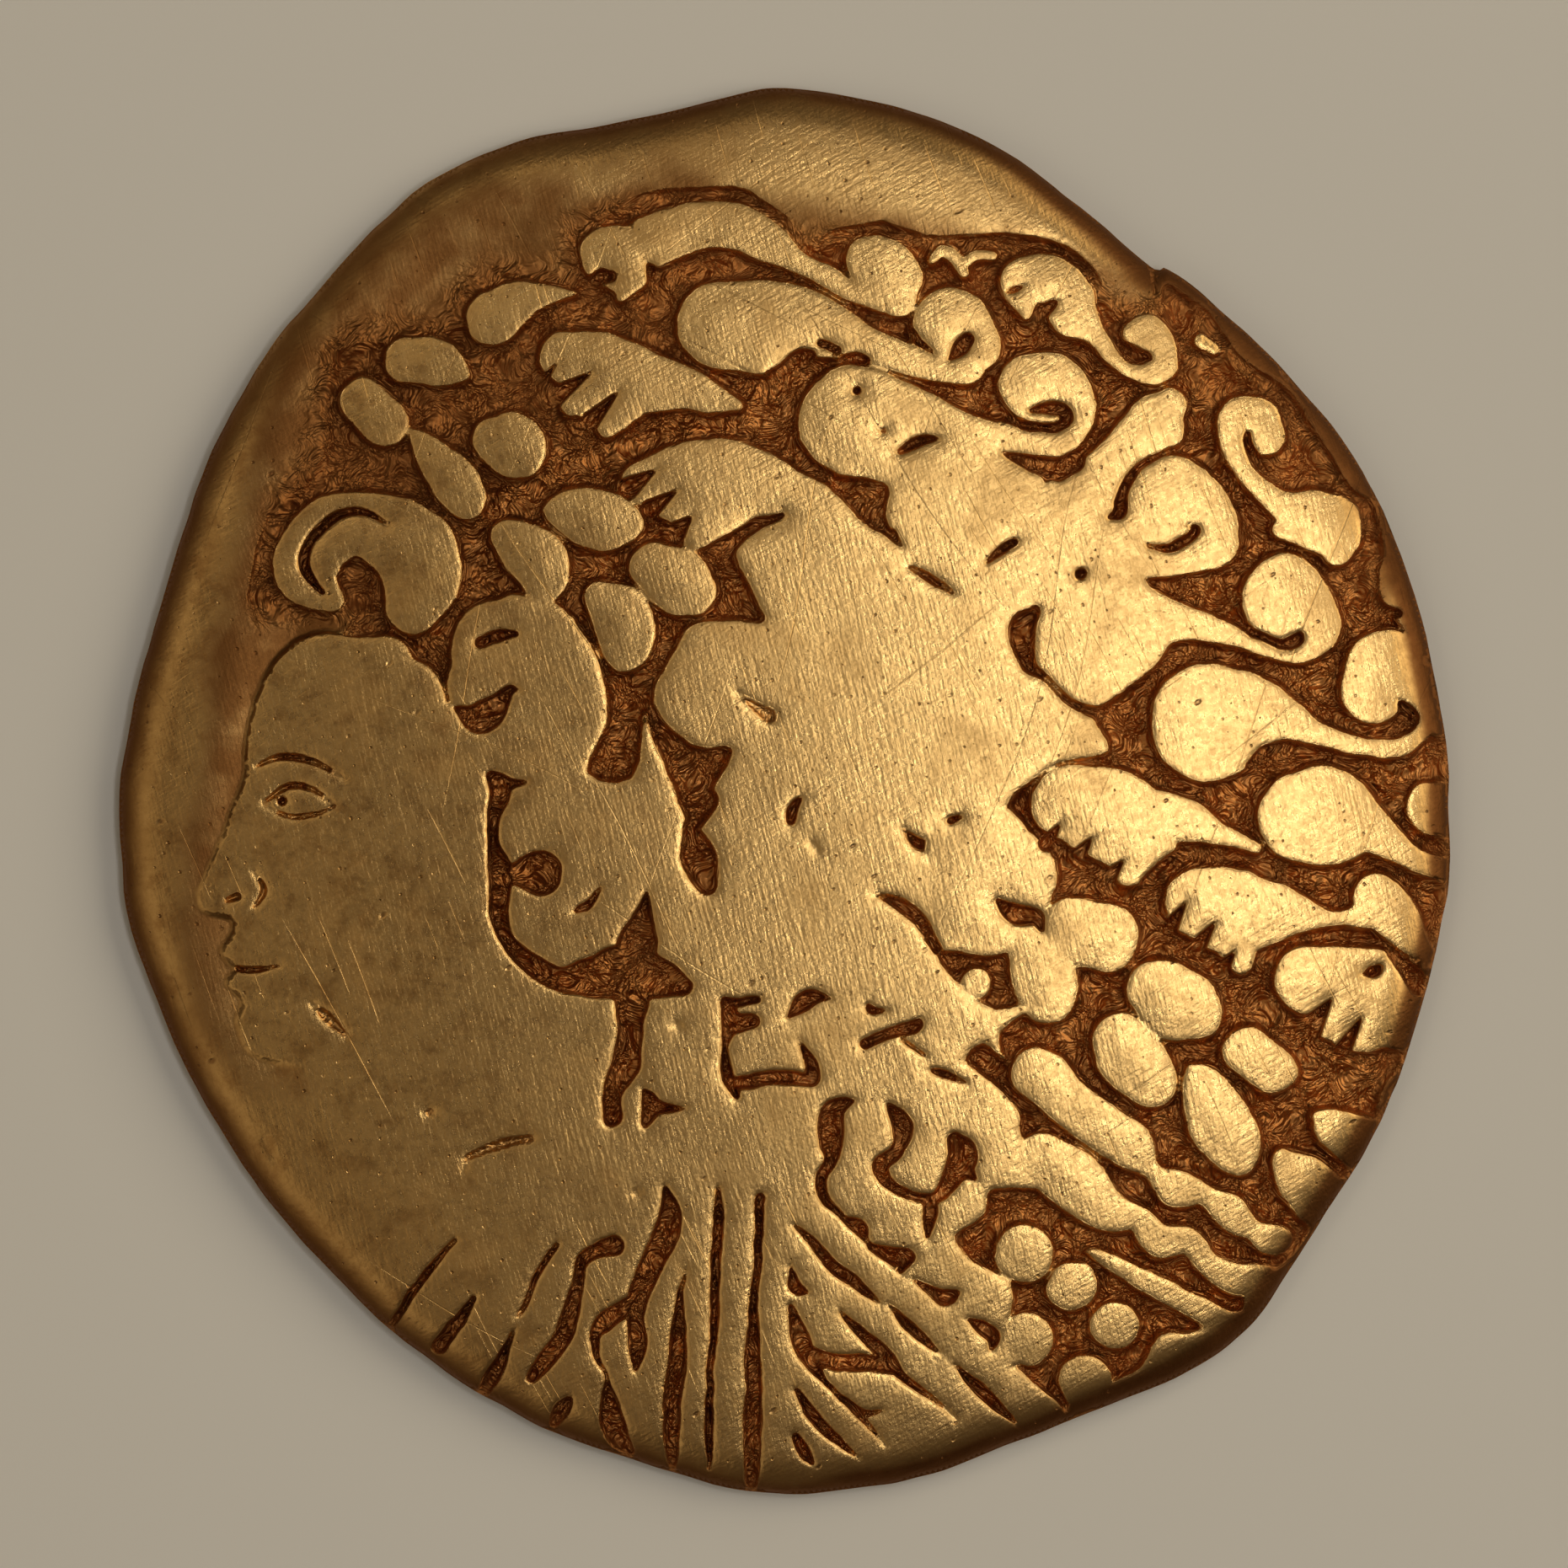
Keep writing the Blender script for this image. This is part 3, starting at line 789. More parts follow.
def fill_points(gap, wanted):
    """Points in staggered rows, a little uneven, where they are wanted."""
    rows = np.arange(grid_y[0], grid_y[-1], gap * math.sqrt(0.75))
    columns = np.arange(grid_x[0], grid_x[-1], gap)
    x, y = np.meshgrid(columns, rows)
    x[1::2] += gap / 2
    x, y = x.ravel(), y.ravel()
    x, y = x + 0.12 * gap * noise(x, y, gap, 51), y + 0.12 * gap * noise(x, y, gap, 57)
    keep = wanted(x, y)
    return np.stack([x[keep], y[keep]], 1)


RIM_COUNT = 760
RIM_INSETS = (0.035, 0.09, 0.16, 0.25, 0.36, 0.5, 0.66, 0.85)
WALL_LEVELS = (0.13, 0.06, 0.02, -0.015, -0.05, -0.09, -0.14, -0.22)
LINE_GAP = 0.064
BEYOND = 0.05            # room between the outer level lines and the points around them
RING_GAP = 0.11
VALLEY_GAP = 0.096
TOP_GAP = 0.26
LEAST_GAP = 0.045
RIM_WAVE, RIM_NICK, WAVE_LIMIT = 0.03, 0.004, 0.02


def even_loop(loop, count):
    """The same closed loop with this many points at even steps."""
    closed = np.vstack([loop, loop[:1]])
    return spaced(closed, np.hypot(*np.diff(closed, axis=0).T).sum() / count)[:-1]


def uneven_rim():
    """The outline with the small waves of a hammered edge."""
    loop = even_loop(RIM, RIM_COUNT)
    out = loop / np.hypot(*loop.T)[:, None]
    wave = RIM_WAVE * crumbs(*loop.T, 1.1, 71, 2) + RIM_NICK * noise(*loop.T, 0.3, 77)
    return loop + out * (np.minimum(wave, WAVE_LIMIT)[:, None] - WAVE_LIMIT)


rim_loop = uneven_rim()
to_rim = outline_field(rim_loop, RIM_REACH)


def along_walls(field, levels, gap):
    """The level lines inside the rim, as points and as edges between them."""
    points, edges, count = [rim_loop], [], RIM_COUNT
    for line in (line for level in levels for line in level_lines(field, level, gap)):
        keep = look_up(to_rim, *line[:-1].T) < -BEYOND
        number = np.where(keep, count - 1 + np.cumsum(keep), -1)
        joins = np.stack([number, np.roll(number, -1)], 1)
        if np.hypot(*(line[0] - line[-1])) > 1e-9:
            joins = joins[:-1]
        edges += joins[(joins >= 0).all(1)].tolist()
        points.append(line[:-1][keep])
        count += keep.sum()
    return np.vstack(points), edges


def loose_points(lines, wanted, gap):
    """Points of level lines that needn't stay edges."""
    points = np.vstack(lines)
    inside = look_up(to_rim, *points.T) < -0.02
    points = points[inside & wanted(*points.T)]
    return thin(points, gap)


def front_points():
    """All points of the front, and the edges that must stay between them."""
    def clear(x, y):
        depth = look_up(sunk, x, y)
        return (depth > WALL_LEVELS[0] + BEYOND) | (depth < WALL_LEVELS[-1] - BEYOND)

    def on_soft_walls(x, y):
        return (look_up(in_hollow, x, y) < -0.25) & clear(x, y)

    def on_tops(x, y):
        return (look_up(to_rim, x, y) < -0.95) & (look_up(sunk, x, y) > 0.22)

    def in_valleys(x, y):
        return (look_up(to_rim, x, y) < -0.12) & (look_up(sunk, x, y) < -0.26)

    points, edges = along_walls(sunk, WALL_LEVELS, LINE_GAP)
    rings = [line for inset in RIM_INSETS for line in level_lines(to_rim, -inset, RING_GAP)]
    soft = [line for level in WALL_LEVELS for line in level_lines(lifted, -level, LINE_GAP)]
    loose = [loose_points(rings, clear, 0.05), loose_points(soft, on_soft_walls, 0.05),
             fill_points(VALLEY_GAP, in_valleys), fill_points(TOP_GAP, on_tops)]
    return np.vstack([points, thin(np.vstack(loose), LEAST_GAP)]), edges


print("rim points:", len(rim_loop))


# %% [markdown]
# The back rests on a flat ring inside its rolled edge, and within the ring it is a shallow dish.
# Its relief is low and a little rough, so it never reaches down to the table.

# %% The height of the back
BACK_ROUGH = 0.02
BACK_LEVELS = (0.04, -0.02, -0.08, -0.14, -0.2)
BACK_GAP = 0.3


def back_height(x, y):
    inset = np.maximum(0, -look_up(to_rim, x, y))
    share = np.clip(1 - (inset - CONTACT_INNER) / (MEAN_RADIUS - CONTACT_INNER), 0, 1)
    # the rim's field is only exact near it, so the middle goes by the distance from the centre
    by_centre = np.hypot(x, y) / MEAN_RADIUS / (1 - CONTACT_INNER / MEAN_RADIUS)
    share = np.where(inset > RIM_REACH - 0.1, by_centre, share)
    dish = DISH_DEPTH * (1 - np.clip(share, 0, 1) ** 2)
    raised_work = BACK_RELIEF * ramp(-look_up(on_back, x, y) / BACK_WALL)
    rough = BACK_ROUGH * crumbs(x, y, 0.8, 61) * ramp((inset - CONTACT_INNER) / 0.6)
    inner = np.maximum(0, dish - np.minimum(dish * 0.7, raised_work) + rough)
    return np.where(inset < CONTACT_OUTER, roll(inset, BACK_ROLL), np.where(inset < CONTACT_INNER, 0, inner))


def back_points():
    insets = (*RIM_INSETS, CONTACT_INNER, 2.1)
    rings = [line for inset in insets for line in level_lines(to_rim, -inset, 0.14)]

    def clear(x, y):
        return np.abs(look_up(on_back, x, y) + 0.08) > 0.18

    def wanted(x, y):
        return (look_up(to_rim, x, y) < -1.0) & clear(x, y)

    points, edges = along_walls(on_back, BACK_LEVELS, 0.12)
    loose = [loose_points(rings, clear, 0.08), fill_points(BACK_GAP, wanted)]
    return np.vstack([points, thin(np.vstack(loose), 0.08)]), edges


# %% [markdown]
# Colour follows the shape: dirt stays in the deep, fingers polish the tops, and the edge keeps a
# dark skin, black for a stretch at the bottom and rubbed off at the upper left. Each point of the
# mesh carries these shares as plain numbers, which the material reads later. A painted picture
# could do the same, but it would need unfolding and would blur the edges.

# %% Shares painted on the points
DARK_SIDE = np.array([2.6, -12.7])       # the middle of the blackened stretch of the edge
RUBBED_SIDE = np.array([-8.0, 9.8])      # the middle of the stretch of border rubbed bright
DARK_REACH, RUBBED_REACH = 1.6, 3.2
BORDER_WIDTH, BORDER_SKIN = 2.4, 0.30    # how wide and how dark the border's thin skin is
EDGE_WIDTH = 0.9


def paint_shares(mesh, front_xy, back_xy):
    """Store on each point its share of ground, hollow, edge and skin, and how deep it lies."""
    x, y = front_xy.T
    inset = np.maximum(0, -look_up(to_rim, x, y))
    inside = -look_up(sunk, x, y)
    hollow_in = -look_up(in_hollow, x, y) + 0.25 * crumbs(x, y, 1.3, 91)
    shade = fade_down(y) * ramp((hollow_in + 0.35) / 0.7) * ramp(look_up(lifted, x, y) / 0.12)
    back_inset = np.maximum(0, -look_up(to_rim, *back_xy.T))
    back_relief = look_up(on_back, *back_xy.T)
    beyond_ground = look_up(in_ground, x, y)
    opened = open_side(x, y)
    cut = ramp((inside + 0.02) / 0.08)
    ground_share = cut + opened * (ramp((0.4 - beyond_ground) / 0.8) - cut)
    foot_depth = np.where(opened > 0.5, -1.0, inside)
    rubbed = ramp(1.6 - np.hypot(*(front_xy - RUBBED_SIDE).T) / RUBBED_REACH)
    dark_width = 0.34 + 0.26 * ramp(x / 8) - 0.24 * rubbed
    border = ramp(1 - inset / BORDER_WIDTH) * ramp((beyond_ground + 0.2) / 0.3) * (1 - rubbed)
    dark_side = ramp((0.5 - inset) / 0.25) * ramp(1.7 - np.hypot(*(front_xy - DARK_SIDE).T) / DARK_REACH)
    skin = np.maximum(np.maximum(BORDER_SKIN * border, dark_side), ramp((dark_width - inset) / 0.3))
    shares = {
        "ground": (ground_share, 0.45 * ramp(back_relief / 0.15) * (back_inset > CONTACT_INNER)),
        "depth_in": (foot_depth, np.full(len(back_xy), -1.0)),
        "hollow": (shade, 0.5 * ramp((back_inset - CONTACT_INNER) / 1.2)),
        "rim": (1 - ramp(inset / EDGE_WIDTH), 1 - ramp(back_inset / EDGE_WIDTH)),
        "skin": (skin, ramp((0.5 - back_inset) / 0.3)),
    }
    for name, (front, back) in shares.items():
        attribute = mesh.attributes.new(name, "FLOAT", "POINT")
        attribute.data.foreach_set("value", np.concatenate([front, back]).astype(np.float32))
    print("shares on each point:", ", ".join(shares))


# %% [markdown]
# Both faces are triangulated inside the same rim points, lifted to their heights and sewn together
# round the edge, so the coin is one closed piece of metal. Where each point's surface faces is
# worked out from the slopes of the height, because averaging over triangles would show them.

# %% Build the coin
def add_object(name, data):
    made = bpy.data.objects.new(name, data)
    bpy.context.scene.collection.objects.link(made)
    return made


def face_mesh(points, edges, height):
    """One face of the coin: its points, their heights, its triangles and the rim's own points."""
    flat = [Vector(p) for p in points]
    made = geometry.delaunay_2d_cdt(flat, edges, [list(range(RIM_COUNT))], 1, 1e-6)
    xy = np.array([v[:] for v in made[0]])
    rim_index = {source: new for new, sources in enumerate(made[3]) for source in sources
                 if source < RIM_COUNT}
    order = [rim_index[i] for i in range(RIM_COUNT)]
    return xy, height(*xy.T), [list(t) for t in made[2]], order


def front_normals(x, y):
    """The true direction of the surface, from its slopes; nothing at the rolled rim."""
    step = 0.012
    slope_x = (front_height(x + step, y) - front_height(x - step, y)) / (2 * step)
    slope_y = (front_height(x, y + step) - front_height(x, y - step)) / (2 * step)
    normal = np.stack([-slope_x, -slope_y, np.ones_like(x)], 1)
    normal /= np.linalg.norm(normal, axis=1)[:, None]
    return normal * (look_up(to_rim, x, y) < -0.3)[:, None]


def build_coin():
    front_xy, front_z, front_triangles, front_rim = face_mesh(*front_points(), front_height)
    back_xy, back_z, back_triangles, back_rim = face_mesh(*back_points(), back_height)
    below = len(front_xy)
    faces = front_triangles + [[below + t[0], below + t[2], below + t[1]] for t in back_triangles]
    for i in range(RIM_COUNT):
        j = (i + 1) % RIM_COUNT
        faces.append([front_rim[j], front_rim[i], below + back_rim[i], below + back_rim[j]])
    xy = np.vstack([front_xy, back_xy])
    z = np.concatenate([front_z, back_z])
    mesh = bpy.data.meshes.new("coin_struck")
    mesh.from_pydata(np.column_stack([xy - MIDDLE, z]) * MM, [], faces)
    paint_shares(mesh, front_xy, back_xy)
    mesh.validate()
    mesh.shade_smooth()
    normals = np.vstack([front_normals(*front_xy.T), np.zeros((len(back_xy), 3))])
    mesh.normals_split_custom_set_from_vertices(normals)
    print("coin:", len(mesh.vertices), "points", sum(len(f) - 2 for f in faces), "triangles")
    return add_object("coin_struck", mesh)


coin = build_coin()

# %% [markdown]
# A material is a small graph of nodes. A few helpers keep it readable: one adds any node and sets
# or links its inputs, and the others are the sums, blends and noises that are wanted again and
# again. An effect that is used several times is a node group, like a function with named inputs.

# %% Helpers for node graphs
def put(tree, kind, links=None, **values):
    """Add a node, set its properties and inputs, and link what is a socket."""
    node = tree.nodes.new(kind)
    for name, value in values.items():
        setattr(node, name, value)
    for name, value in (links or {}).items():
        socket = node.inputs[name]
        if isinstance(value, bpy.types.NodeSocket):
            tree.links.new(value, socket)
        else:
            socket.default_value = value
    return node


def calc(tree, operation, a, b=0.0, **more):
    return put(tree, "ShaderNodeMath", {0: a, 1: b}, operation=operation, **more).outputs[0]


def times(tree, a, b):
    return calc(tree, "MULTIPLY", a, b)


def blend_colour(tree, share, a, b):
    return put(tree, "ShaderNodeMix", {0: share, 6: a, 7: b}, data_type="RGBA").outputs[2]


def remap(tree, value, low, high, to_low=0.0, to_high=1.0):
    node = put(tree, "ShaderNodeMapRange", {0: value, 1: low, 2: high, 3: to_low, 4: to_high},
               interpolation_type="SMOOTHSTEP")
    return node.outputs[0]


def noise_node(tree, where, size, detail=2.0, roughness=0.5, distortion=0.0):
    """Noise whose bumps are `size` millimetres across."""
    links = {"Vector": where, "Scale": 1 / (size * MM), "Detail": detail, "Roughness": roughness,
             "Distortion": distortion}
    return put(tree, "ShaderNodeTexNoise", links).outputs["Fac"]


def new_group(name, inputs, outputs):
    """An empty node group with named inputs and outputs."""
    group = bpy.data.node_groups.new(name, "ShaderNodeTree")
    for label, kind, default in inputs:
        socket = group.interface.new_socket(label, in_out="INPUT", socket_type=kind)
        if default is not None:
            socket.default_value = default
    for label, kind in outputs:
        group.interface.new_socket(label, in_out="OUTPUT", socket_type=kind)
    return group, group.nodes.new("NodeGroupInput"), group.nodes.new("NodeGroupOutput")


VALUE, VECTOR = "NodeSocketFloat", "NodeSocketVector"

# %% [markdown]
# Hair scratches are what two thousand years of purses leave: long, thin, nearly straight, in a few
# directions. Old gold is pitted too, with pores far under a tenth of a millimetre. One group makes
# both: the cells of a Voronoi texture scatter round marks, and stretching the place along one way
# draws each mark out into a hairline. A slow noise bends the place first, so none is quite straight.

# %% Fine marks: scratches and pores
BEND_SIZE, BEND = 7 * MM, 1.5 * MM


def make_marks():
    group, given, out = new_group(
        "fine marks",
        [("Place", VECTOR, None), ("Turn", VALUE, 0.0), ("Spacing", VALUE, 0.4), ("Stretch", VALUE, 1.0),
         ("Amount", VALUE, 0.4), ("Width", VALUE, 0.1)],
        [("Marks", VALUE)])
    place, turn, spacing, stretch, amount, width = given.outputs[:6]
    bend = put(group, "ShaderNodeTexNoise", {"Vector": place, "Scale": 1 / BEND_SIZE, "Detail": 0.0})
    aside = put(group, "ShaderNodeVectorMath", {0: bend.outputs["Color"], "Scale": BEND}, operation="SCALE")
    bent = put(group, "ShaderNodeVectorMath", {0: place, 1: aside.outputs[0]}, operation="ADD")
    turned = put(group, "ShaderNodeVectorRotate", {"Vector": bent.outputs[0], "Angle": turn},
                 rotation_type="Z_AXIS")
    parts = put(group, "ShaderNodeSeparateXYZ", {0: turned.outputs[0]}).outputs
    across = calc(group, "DIVIDE", parts[0], times(group, spacing, MM))
    along = calc(group, "DIVIDE", parts[1], times(group, times(group, spacing, stretch), MM))
    spot = put(group, "ShaderNodeCombineXYZ", {0: across, 1: along}).outputs[0]
    cells = put(group, "ShaderNodeTexVoronoi", {"Vector": spot, "Scale": 1.0}, voronoi_dimensions="2D")
    chance = put(group, "ShaderNodeSeparateColor", {0: cells.outputs["Color"]}).outputs
    reach = times(group, width, calc(group, "ADD", chance[0], 0.35))
    near = calc(group, "DIVIDE", calc(group, "SUBTRACT", reach, cells.outputs["Distance"]), reach)
    mark = put(group, "ShaderNodeMapRange", {0: near, 1: 0.0, 2: 0.6, 3: 0.0, 4: 1.0}).outputs[0]
    chosen = calc(group, "LESS_THAN", chance[1], amount)
    strength = calc(group, "ADD", 0.3, times(group, chance[2], 0.7))
    group.links.new(times(group, times(group, mark, chosen), strength), out.inputs["Marks"])
    print("fine marks:", len(group.nodes), "nodes")
    return group


MARKS = make_marks()


def add_marks(tree, place, turn=0.0, spacing=0.4, stretch=1.0, amount=0.4, width=0.1):
    """Place the group in a material with its own values."""
    values = {"Place": place, "Turn": turn, "Spacing": spacing, "Stretch": stretch, "Amount": amount,
              "Width": width}
    return put(tree, "ShaderNodeGroup", values, node_tree=MARKS).outputs["Marks"]


# %% [markdown]
# The gold is pale and satin on the worn tops and duller toward the left, with cloudy tarnish and
# fine specks. In the sunken ground, where no finger has polished it, it is deep red-brown, and dirt
# fills the foot of every wall. The hollow inside the border is browner than the tops. The colours
# are laid over each other like glazes, each where one of the shares on the points says.

# %% The colour of the gold
PALE_GOLD = (0.90, 0.58, 0.225, 1)
CLOUDY_GOLD = (0.58, 0.335, 0.112, 1)
GROUND_GOLD = (0.60, 0.25, 0.074, 1)
BROWN_CRUST = (0.17, 0.066, 0.020, 1)
HOLLOW_GOLD = (0.27, 0.122, 0.034, 1)
EDGE_GOLD = (0.30, 0.14, 0.040, 1)
CLOUD, SPECK, MOTTLE, PATCH, STAIN, BREAK = 1.7, 0.14, 0.55, 0.7, 0.9, 0.35  # pattern sizes, mm
OLIVE_FROM, OLIVE_TO, OLIVE_SHARE = 3 * MM, -9 * MM, 0.55    # duller from right to left
CRUST_SHARE, PIT_SHARE = 0.55, 0.75
SATIN = (0.27, 0.34)     # how rough the tops are, clean and tarnished


def gold_surface(tree, place, mask):
    """The gold's colour and roughness, and where its pits are."""
    def patches(size, low, high, *kind, to=(0.0, 1.0)):
        return remap(tree, noise_node(tree, place, size, *kind), low, high, *to)

    across = put(tree, "ShaderNodeSeparateXYZ", {0: place}).outputs[0]
    olive = remap(tree, across, OLIVE_FROM, OLIVE_TO, 0.0, OLIVE_SHARE)
    darker = times(tree, olive, 0.9)
    cloud = patches(CLOUD, 0.45, 0.75, 5.0, 0.6, 0.4)
    speck = patches(SPECK, 0.38, 0.64, 4.0, 0.8)
    tarnish = calc(tree, "ADD", olive, times(tree, cloud, 0.5), use_clamp=True)
    colour = blend_colour(tree, tarnish, PALE_GOLD, CLOUDY_GOLD)
    colour = blend_colour(tree, times(tree, speck, 0.5), colour, CLOUDY_GOLD)
    mottled = times(tree, olive, patches(MOTTLE, 0.46, 0.66, 6.0, 0.7))
    colour = blend_colour(tree, mottled, colour, EDGE_GOLD)
    patchy = patches(PATCH, 0.25, 0.6, 4.0, to=(0.7, 1.0))
    in_hollow = times(tree, mask["hollow"], patchy)
    colour = blend_colour(tree, in_hollow, colour, blend_colour(tree, darker, HOLLOW_GOLD, BROWN_CRUST))
    edge = times(tree, remap(tree, mask["rim"], 0.35, 1.0), patchy)
    colour = blend_colour(tree, edge, colour, EDGE_GOLD)
    colour = blend_colour(tree, mask["skin"], colour, BROWN_CRUST)
    colour = blend_colour(tree, mask["ground"], colour, blend_colour(tree, darker, GROUND_GOLD, BROWN_CRUST))
    foot = times(tree, remap(tree, mask["depth_in"], 0.01, 0.06), remap(tree, mask["depth_in"], 0.20, 0.10))
    dirt = times(tree, foot, patches(BREAK, 0.34, 0.56, 4.0, 0.6))
    stain = times(tree, mask["ground"], patches(STAIN, 0.5, 0.75, 4.0))
    crust = calc(tree, "MAXIMUM", dirt, times(tree, stain, 0.5))
    colour = blend_colour(tree, times(tree, crust, CRUST_SHARE), colour, BROWN_CRUST)
    fine = add_marks(tree, place, spacing=0.30, amount=0.30, width=0.10)
    coarse = add_marks(tree, place, turn=1.0, spacing=0.85, stretch=1.6, amount=0.25, width=0.055)
    pits = calc(tree, "MAXIMUM", fine, coarse)
    colour = blend_colour(tree, times(tree, pits, PIT_SHARE), colour, BROWN_CRUST)
    rough = calc(tree, "ADD", remap(tree, cloud, 0.0, 1.0, *SATIN), times(tree, speck, 0.06))
    for share, more in ((mask["ground"], 0.08), (in_hollow, 0.16), (edge, 0.22), (crust, 0.08)):
        rough = calc(tree, "ADD", rough, times(tree, share, more))
    return colour, rough, pits


print("pale gold:", PALE_GOLD[:3], "ground:", GROUND_GOLD[:3])

# %% [markdown]
# What is finer than the mesh is a bump: hair scratches in five directions, the faint brushing of
# cleaning cloths in two, a grain over all, pits, and small crumples in the ground. Noise that is
# stretched along one way looks brushed. Scratches and brushing are kept to the tops.

# %% Fine relief and the gold material
HAIRLINES = (            # turn, spacing, stretch, share of the cells, width
    (0.30, 0.30, 220, 0.75, 0.070), (-0.55, 0.45, 160, 0.6, 0.055), (0.95, 0.50, 120, 0.6, 0.05),
    (-1.10, 0.55, 120, 0.5, 0.05), (-0.40, 0.16, 60, 0.4, 0.08),
)
BRUSHED_WAYS, BRUSHED_LENGTH = (-1.05, 0.25), 9.0
GRAIN_SIZE, BRUSH_SIZE, CRUMPLE_SIZE = 0.07, 0.06, 0.5
GRAIN_HEIGHT, LINE_HEIGHT, BRUSH_HEIGHT, CRUMPLE_HEIGHT, PIT_HEIGHT = 0.0045, -0.005, 0.0055, 0.50, -0.012


def fine_relief(tree, place, mask, pits):
    """The height of what is finer than the mesh, in millimetres."""
    tops = calc(tree, "SUBTRACT", 1.0, mask["ground"])
    lines = 0.0
    for hairline in HAIRLINES:
        lines = calc(tree, "ADD", lines, add_marks(tree, place, *hairline))
    brushed = 0.0
    for turn in BRUSHED_WAYS:
        links = {"Vector": place, "Rotation": (0, 0, turn), "Scale": (1.0, BRUSHED_LENGTH, 1.0)}
        along = put(tree, "ShaderNodeMapping", links, vector_type="TEXTURE").outputs[0]
        brushed = calc(tree, "ADD", brushed, noise_node(tree, along, BRUSH_SIZE, 3.0))
    uneven = calc(tree, "SUBTRACT", noise_node(tree, place, CRUMPLE_SIZE, 3.0, 0.6, 0.8), 0.5)
    crumpled = times(tree, calc(tree, "ABSOLUTE", uneven), mask["ground"])
    height = times(tree, noise_node(tree, place, GRAIN_SIZE, 2.0), GRAIN_HEIGHT)
    for what, size in ((times(tree, lines, tops), LINE_HEIGHT), (times(tree, brushed, tops), BRUSH_HEIGHT),
                       (crumpled, CRUMPLE_HEIGHT), (pits, PIT_HEIGHT)):
        height = calc(tree, "ADD", height, times(tree, what, size))
    return height


def gold_material():
    material = bpy.data.materials.new("worn gold")
    material.use_nodes = True
    tree = material.node_tree
    shader = tree.nodes["Principled BSDF"]
    shader.inputs["Metallic"].default_value = 1.0
    place = put(tree, "ShaderNodeTexCoord").outputs["Object"]
    mask = {name: put(tree, "ShaderNodeAttribute", attribute_name=name).outputs["Fac"]
            for name in ("ground", "depth_in", "hollow", "rim", "skin")}
    colour, rough, pits = gold_surface(tree, place, mask)
    tree.links.new(colour, shader.inputs["Base Color"])
    tree.links.new(rough, shader.inputs["Roughness"])
    height = fine_relief(tree, place, mask, pits)
    bump = put(tree, "ShaderNodeBump", {"Strength": 1.0, "Distance": MM, "Height": height})
    tree.links.new(bump.outputs[0], shader.inputs["Normal"])
    print("gold:", len(tree.nodes), "nodes")
    return material


coin.data.materials.append(gold_material())
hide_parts("coin")
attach(coin, "root")

# %% [markdown]
# The coin lies on a plain pale floor. Metal shows mostly what it mirrors, so the height and size of
# the lamps set how it shades. Three small lamps high at the right draw the bright tops and fade
# toward the left. A wide warm lamp low at the right lights the walls and the rolled edge, a weaker
# one at the left keeps that side olive, and a faint one stands behind the crown. The sky is dim,
# so that walls turned away go dark.

# %% Floor and light
FLOOR_HALF = 400 * MM
FLOOR_WHITE = (0.88, 0.88, 0.88, 1)
NEAR_WHITE, WARM = (1.0, 0.97, 0.89), (1.0, 0.85, 0.60)
LAMPS = (                # name, azimuth, elevation, distance, size, power, colour
    ("key 1", -28, 75.5, 0.30, (0.06, 0.03), 0.048, NEAR_WHITE),
    ("key 2", 12, 75.5, 0.30, (0.06, 0.03), 0.031, NEAR_WHITE),
    ("key 3", 56, 75.5, 0.30, (0.06, 0.03), 0.036, NEAR_WHITE),
    ("low right", 20, 38, 0.40, (0.45, 0.28), 0.62, WARM),
    ("low left", 200, 46, 0.40, (0.45, 0.32), 0.17, WARM),
    ("back", 130, 58, 0.40, (0.20, 0.12), 0.045, WARM),
)
SKY, SKY_STRENGTH = (1.0, 0.73, 0.48, 1), 0.06


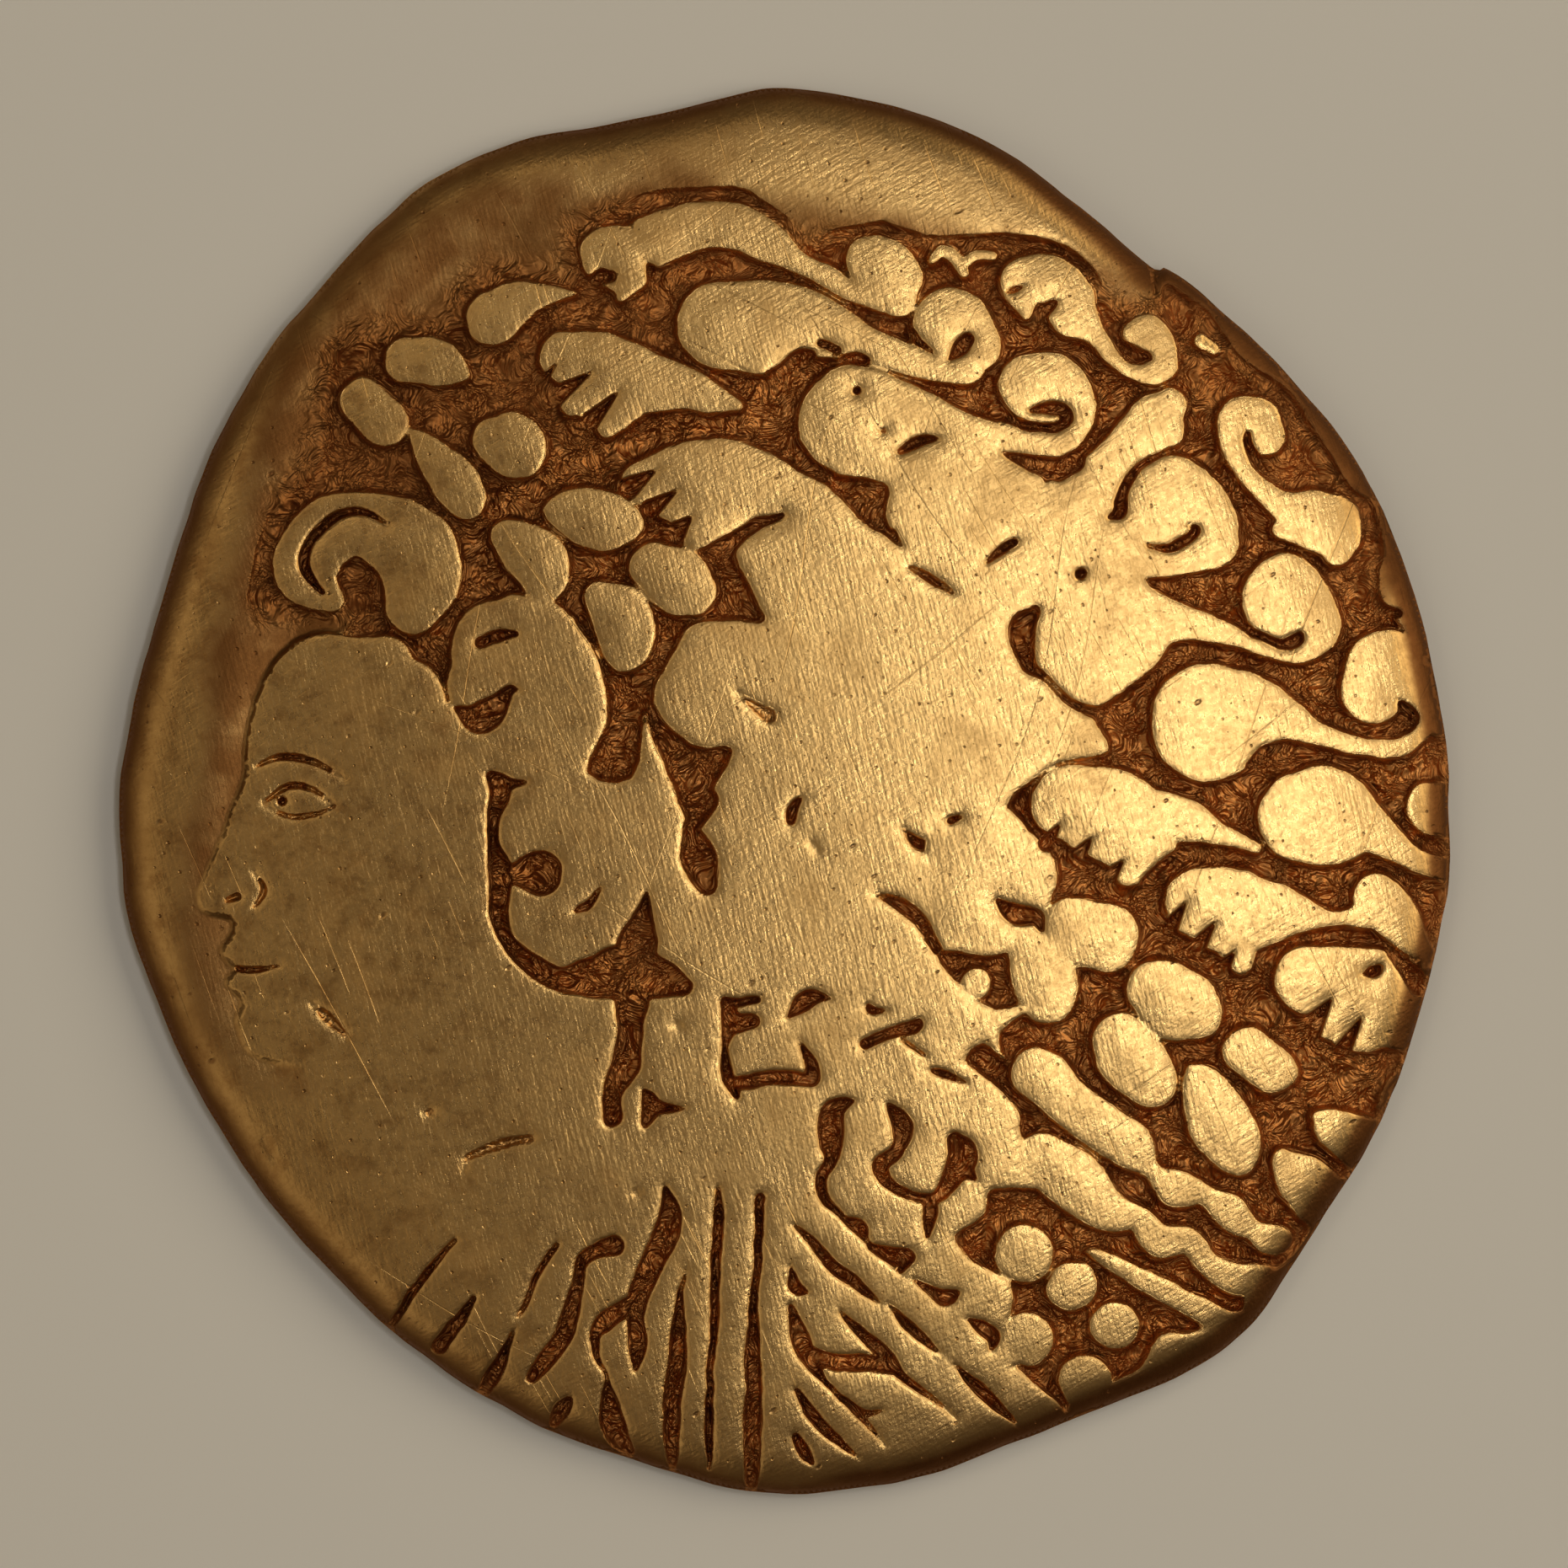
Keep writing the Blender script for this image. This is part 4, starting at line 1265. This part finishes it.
def make_floor():
    mesh = bpy.data.meshes.new("floor")
    floor = add_object("floor", mesh)
    corners = [(x * FLOOR_HALF, y * FLOOR_HALF, 0) for x, y in ((-1, -1), (1, -1), (1, 1), (-1, 1))]
    mesh.from_pydata(corners, [], [(0, 1, 2, 3)])
    material = bpy.data.materials.new("pale floor")
    material.use_nodes = True
    shader = material.node_tree.nodes["Principled BSDF"]
    shader.inputs["Base Color"].default_value = FLOOR_WHITE
    shader.inputs["Roughness"].default_value = 0.9
    mesh.materials.append(material)


def make_lamp(name, azimuth, elevation, distance, size, power, colour):
    """A soft lamp that looks at the coin. Azimuth 0 is at the right, 90 behind the crown."""
    data = bpy.data.lights.new(name, "AREA")
    data.shape = "RECTANGLE"
    data.energy, data.color = power, colour
    data.size, data.size_y = size
    lamp = add_object(name, data)
    a, e = math.radians(azimuth), math.radians(elevation)
    way = Vector((math.cos(a) * math.cos(e), math.sin(a) * math.cos(e), math.sin(e)))
    lamp.location = way * distance
    lamp.rotation_euler = way.to_track_quat("Z", "Y").to_euler()
    print(name, "lamp stands", round(lamp.location.z, 2), "m over the table")


make_floor()
for lamp in LAMPS:
    make_lamp(*lamp)
bpy.context.scene.view_settings.view_transform = "Standard"
world = bpy.data.worlds.new("soft room")
world.use_nodes = True
world.node_tree.nodes["Background"].inputs["Color"].default_value = SKY
world.node_tree.nodes["Background"].inputs["Strength"].default_value = SKY_STRENGTH
bpy.context.scene.world = world

# %% [markdown]
# The camera looks straight down from far off with a long lens, so that the coin keeps its true
# outline. Its height is worked out from how wide a strip of the table it has to take in.

# %% Camera
VIEW_WIDTH = 29.31       # millimetres of the table across the picture
VIEW_CENTRE = np.array([-0.016, 0.094]) - MIDDLE
LENS, SENSOR = 200.0, 36.0
RIM_LEVEL = 0.5          # the height at which that strip is measured
camera_data = bpy.data.cameras.new("camera")
camera_data.lens, camera_data.sensor_width = LENS, SENSOR
camera = add_object("camera", camera_data)
camera.location = Vector((*VIEW_CENTRE, RIM_LEVEL + VIEW_WIDTH * LENS / SENSOR)) * MM
camera_data.clip_start = 0.01
bpy.context.scene.camera = camera
print("camera stands", round(camera.location.z, 3), "m over the table")
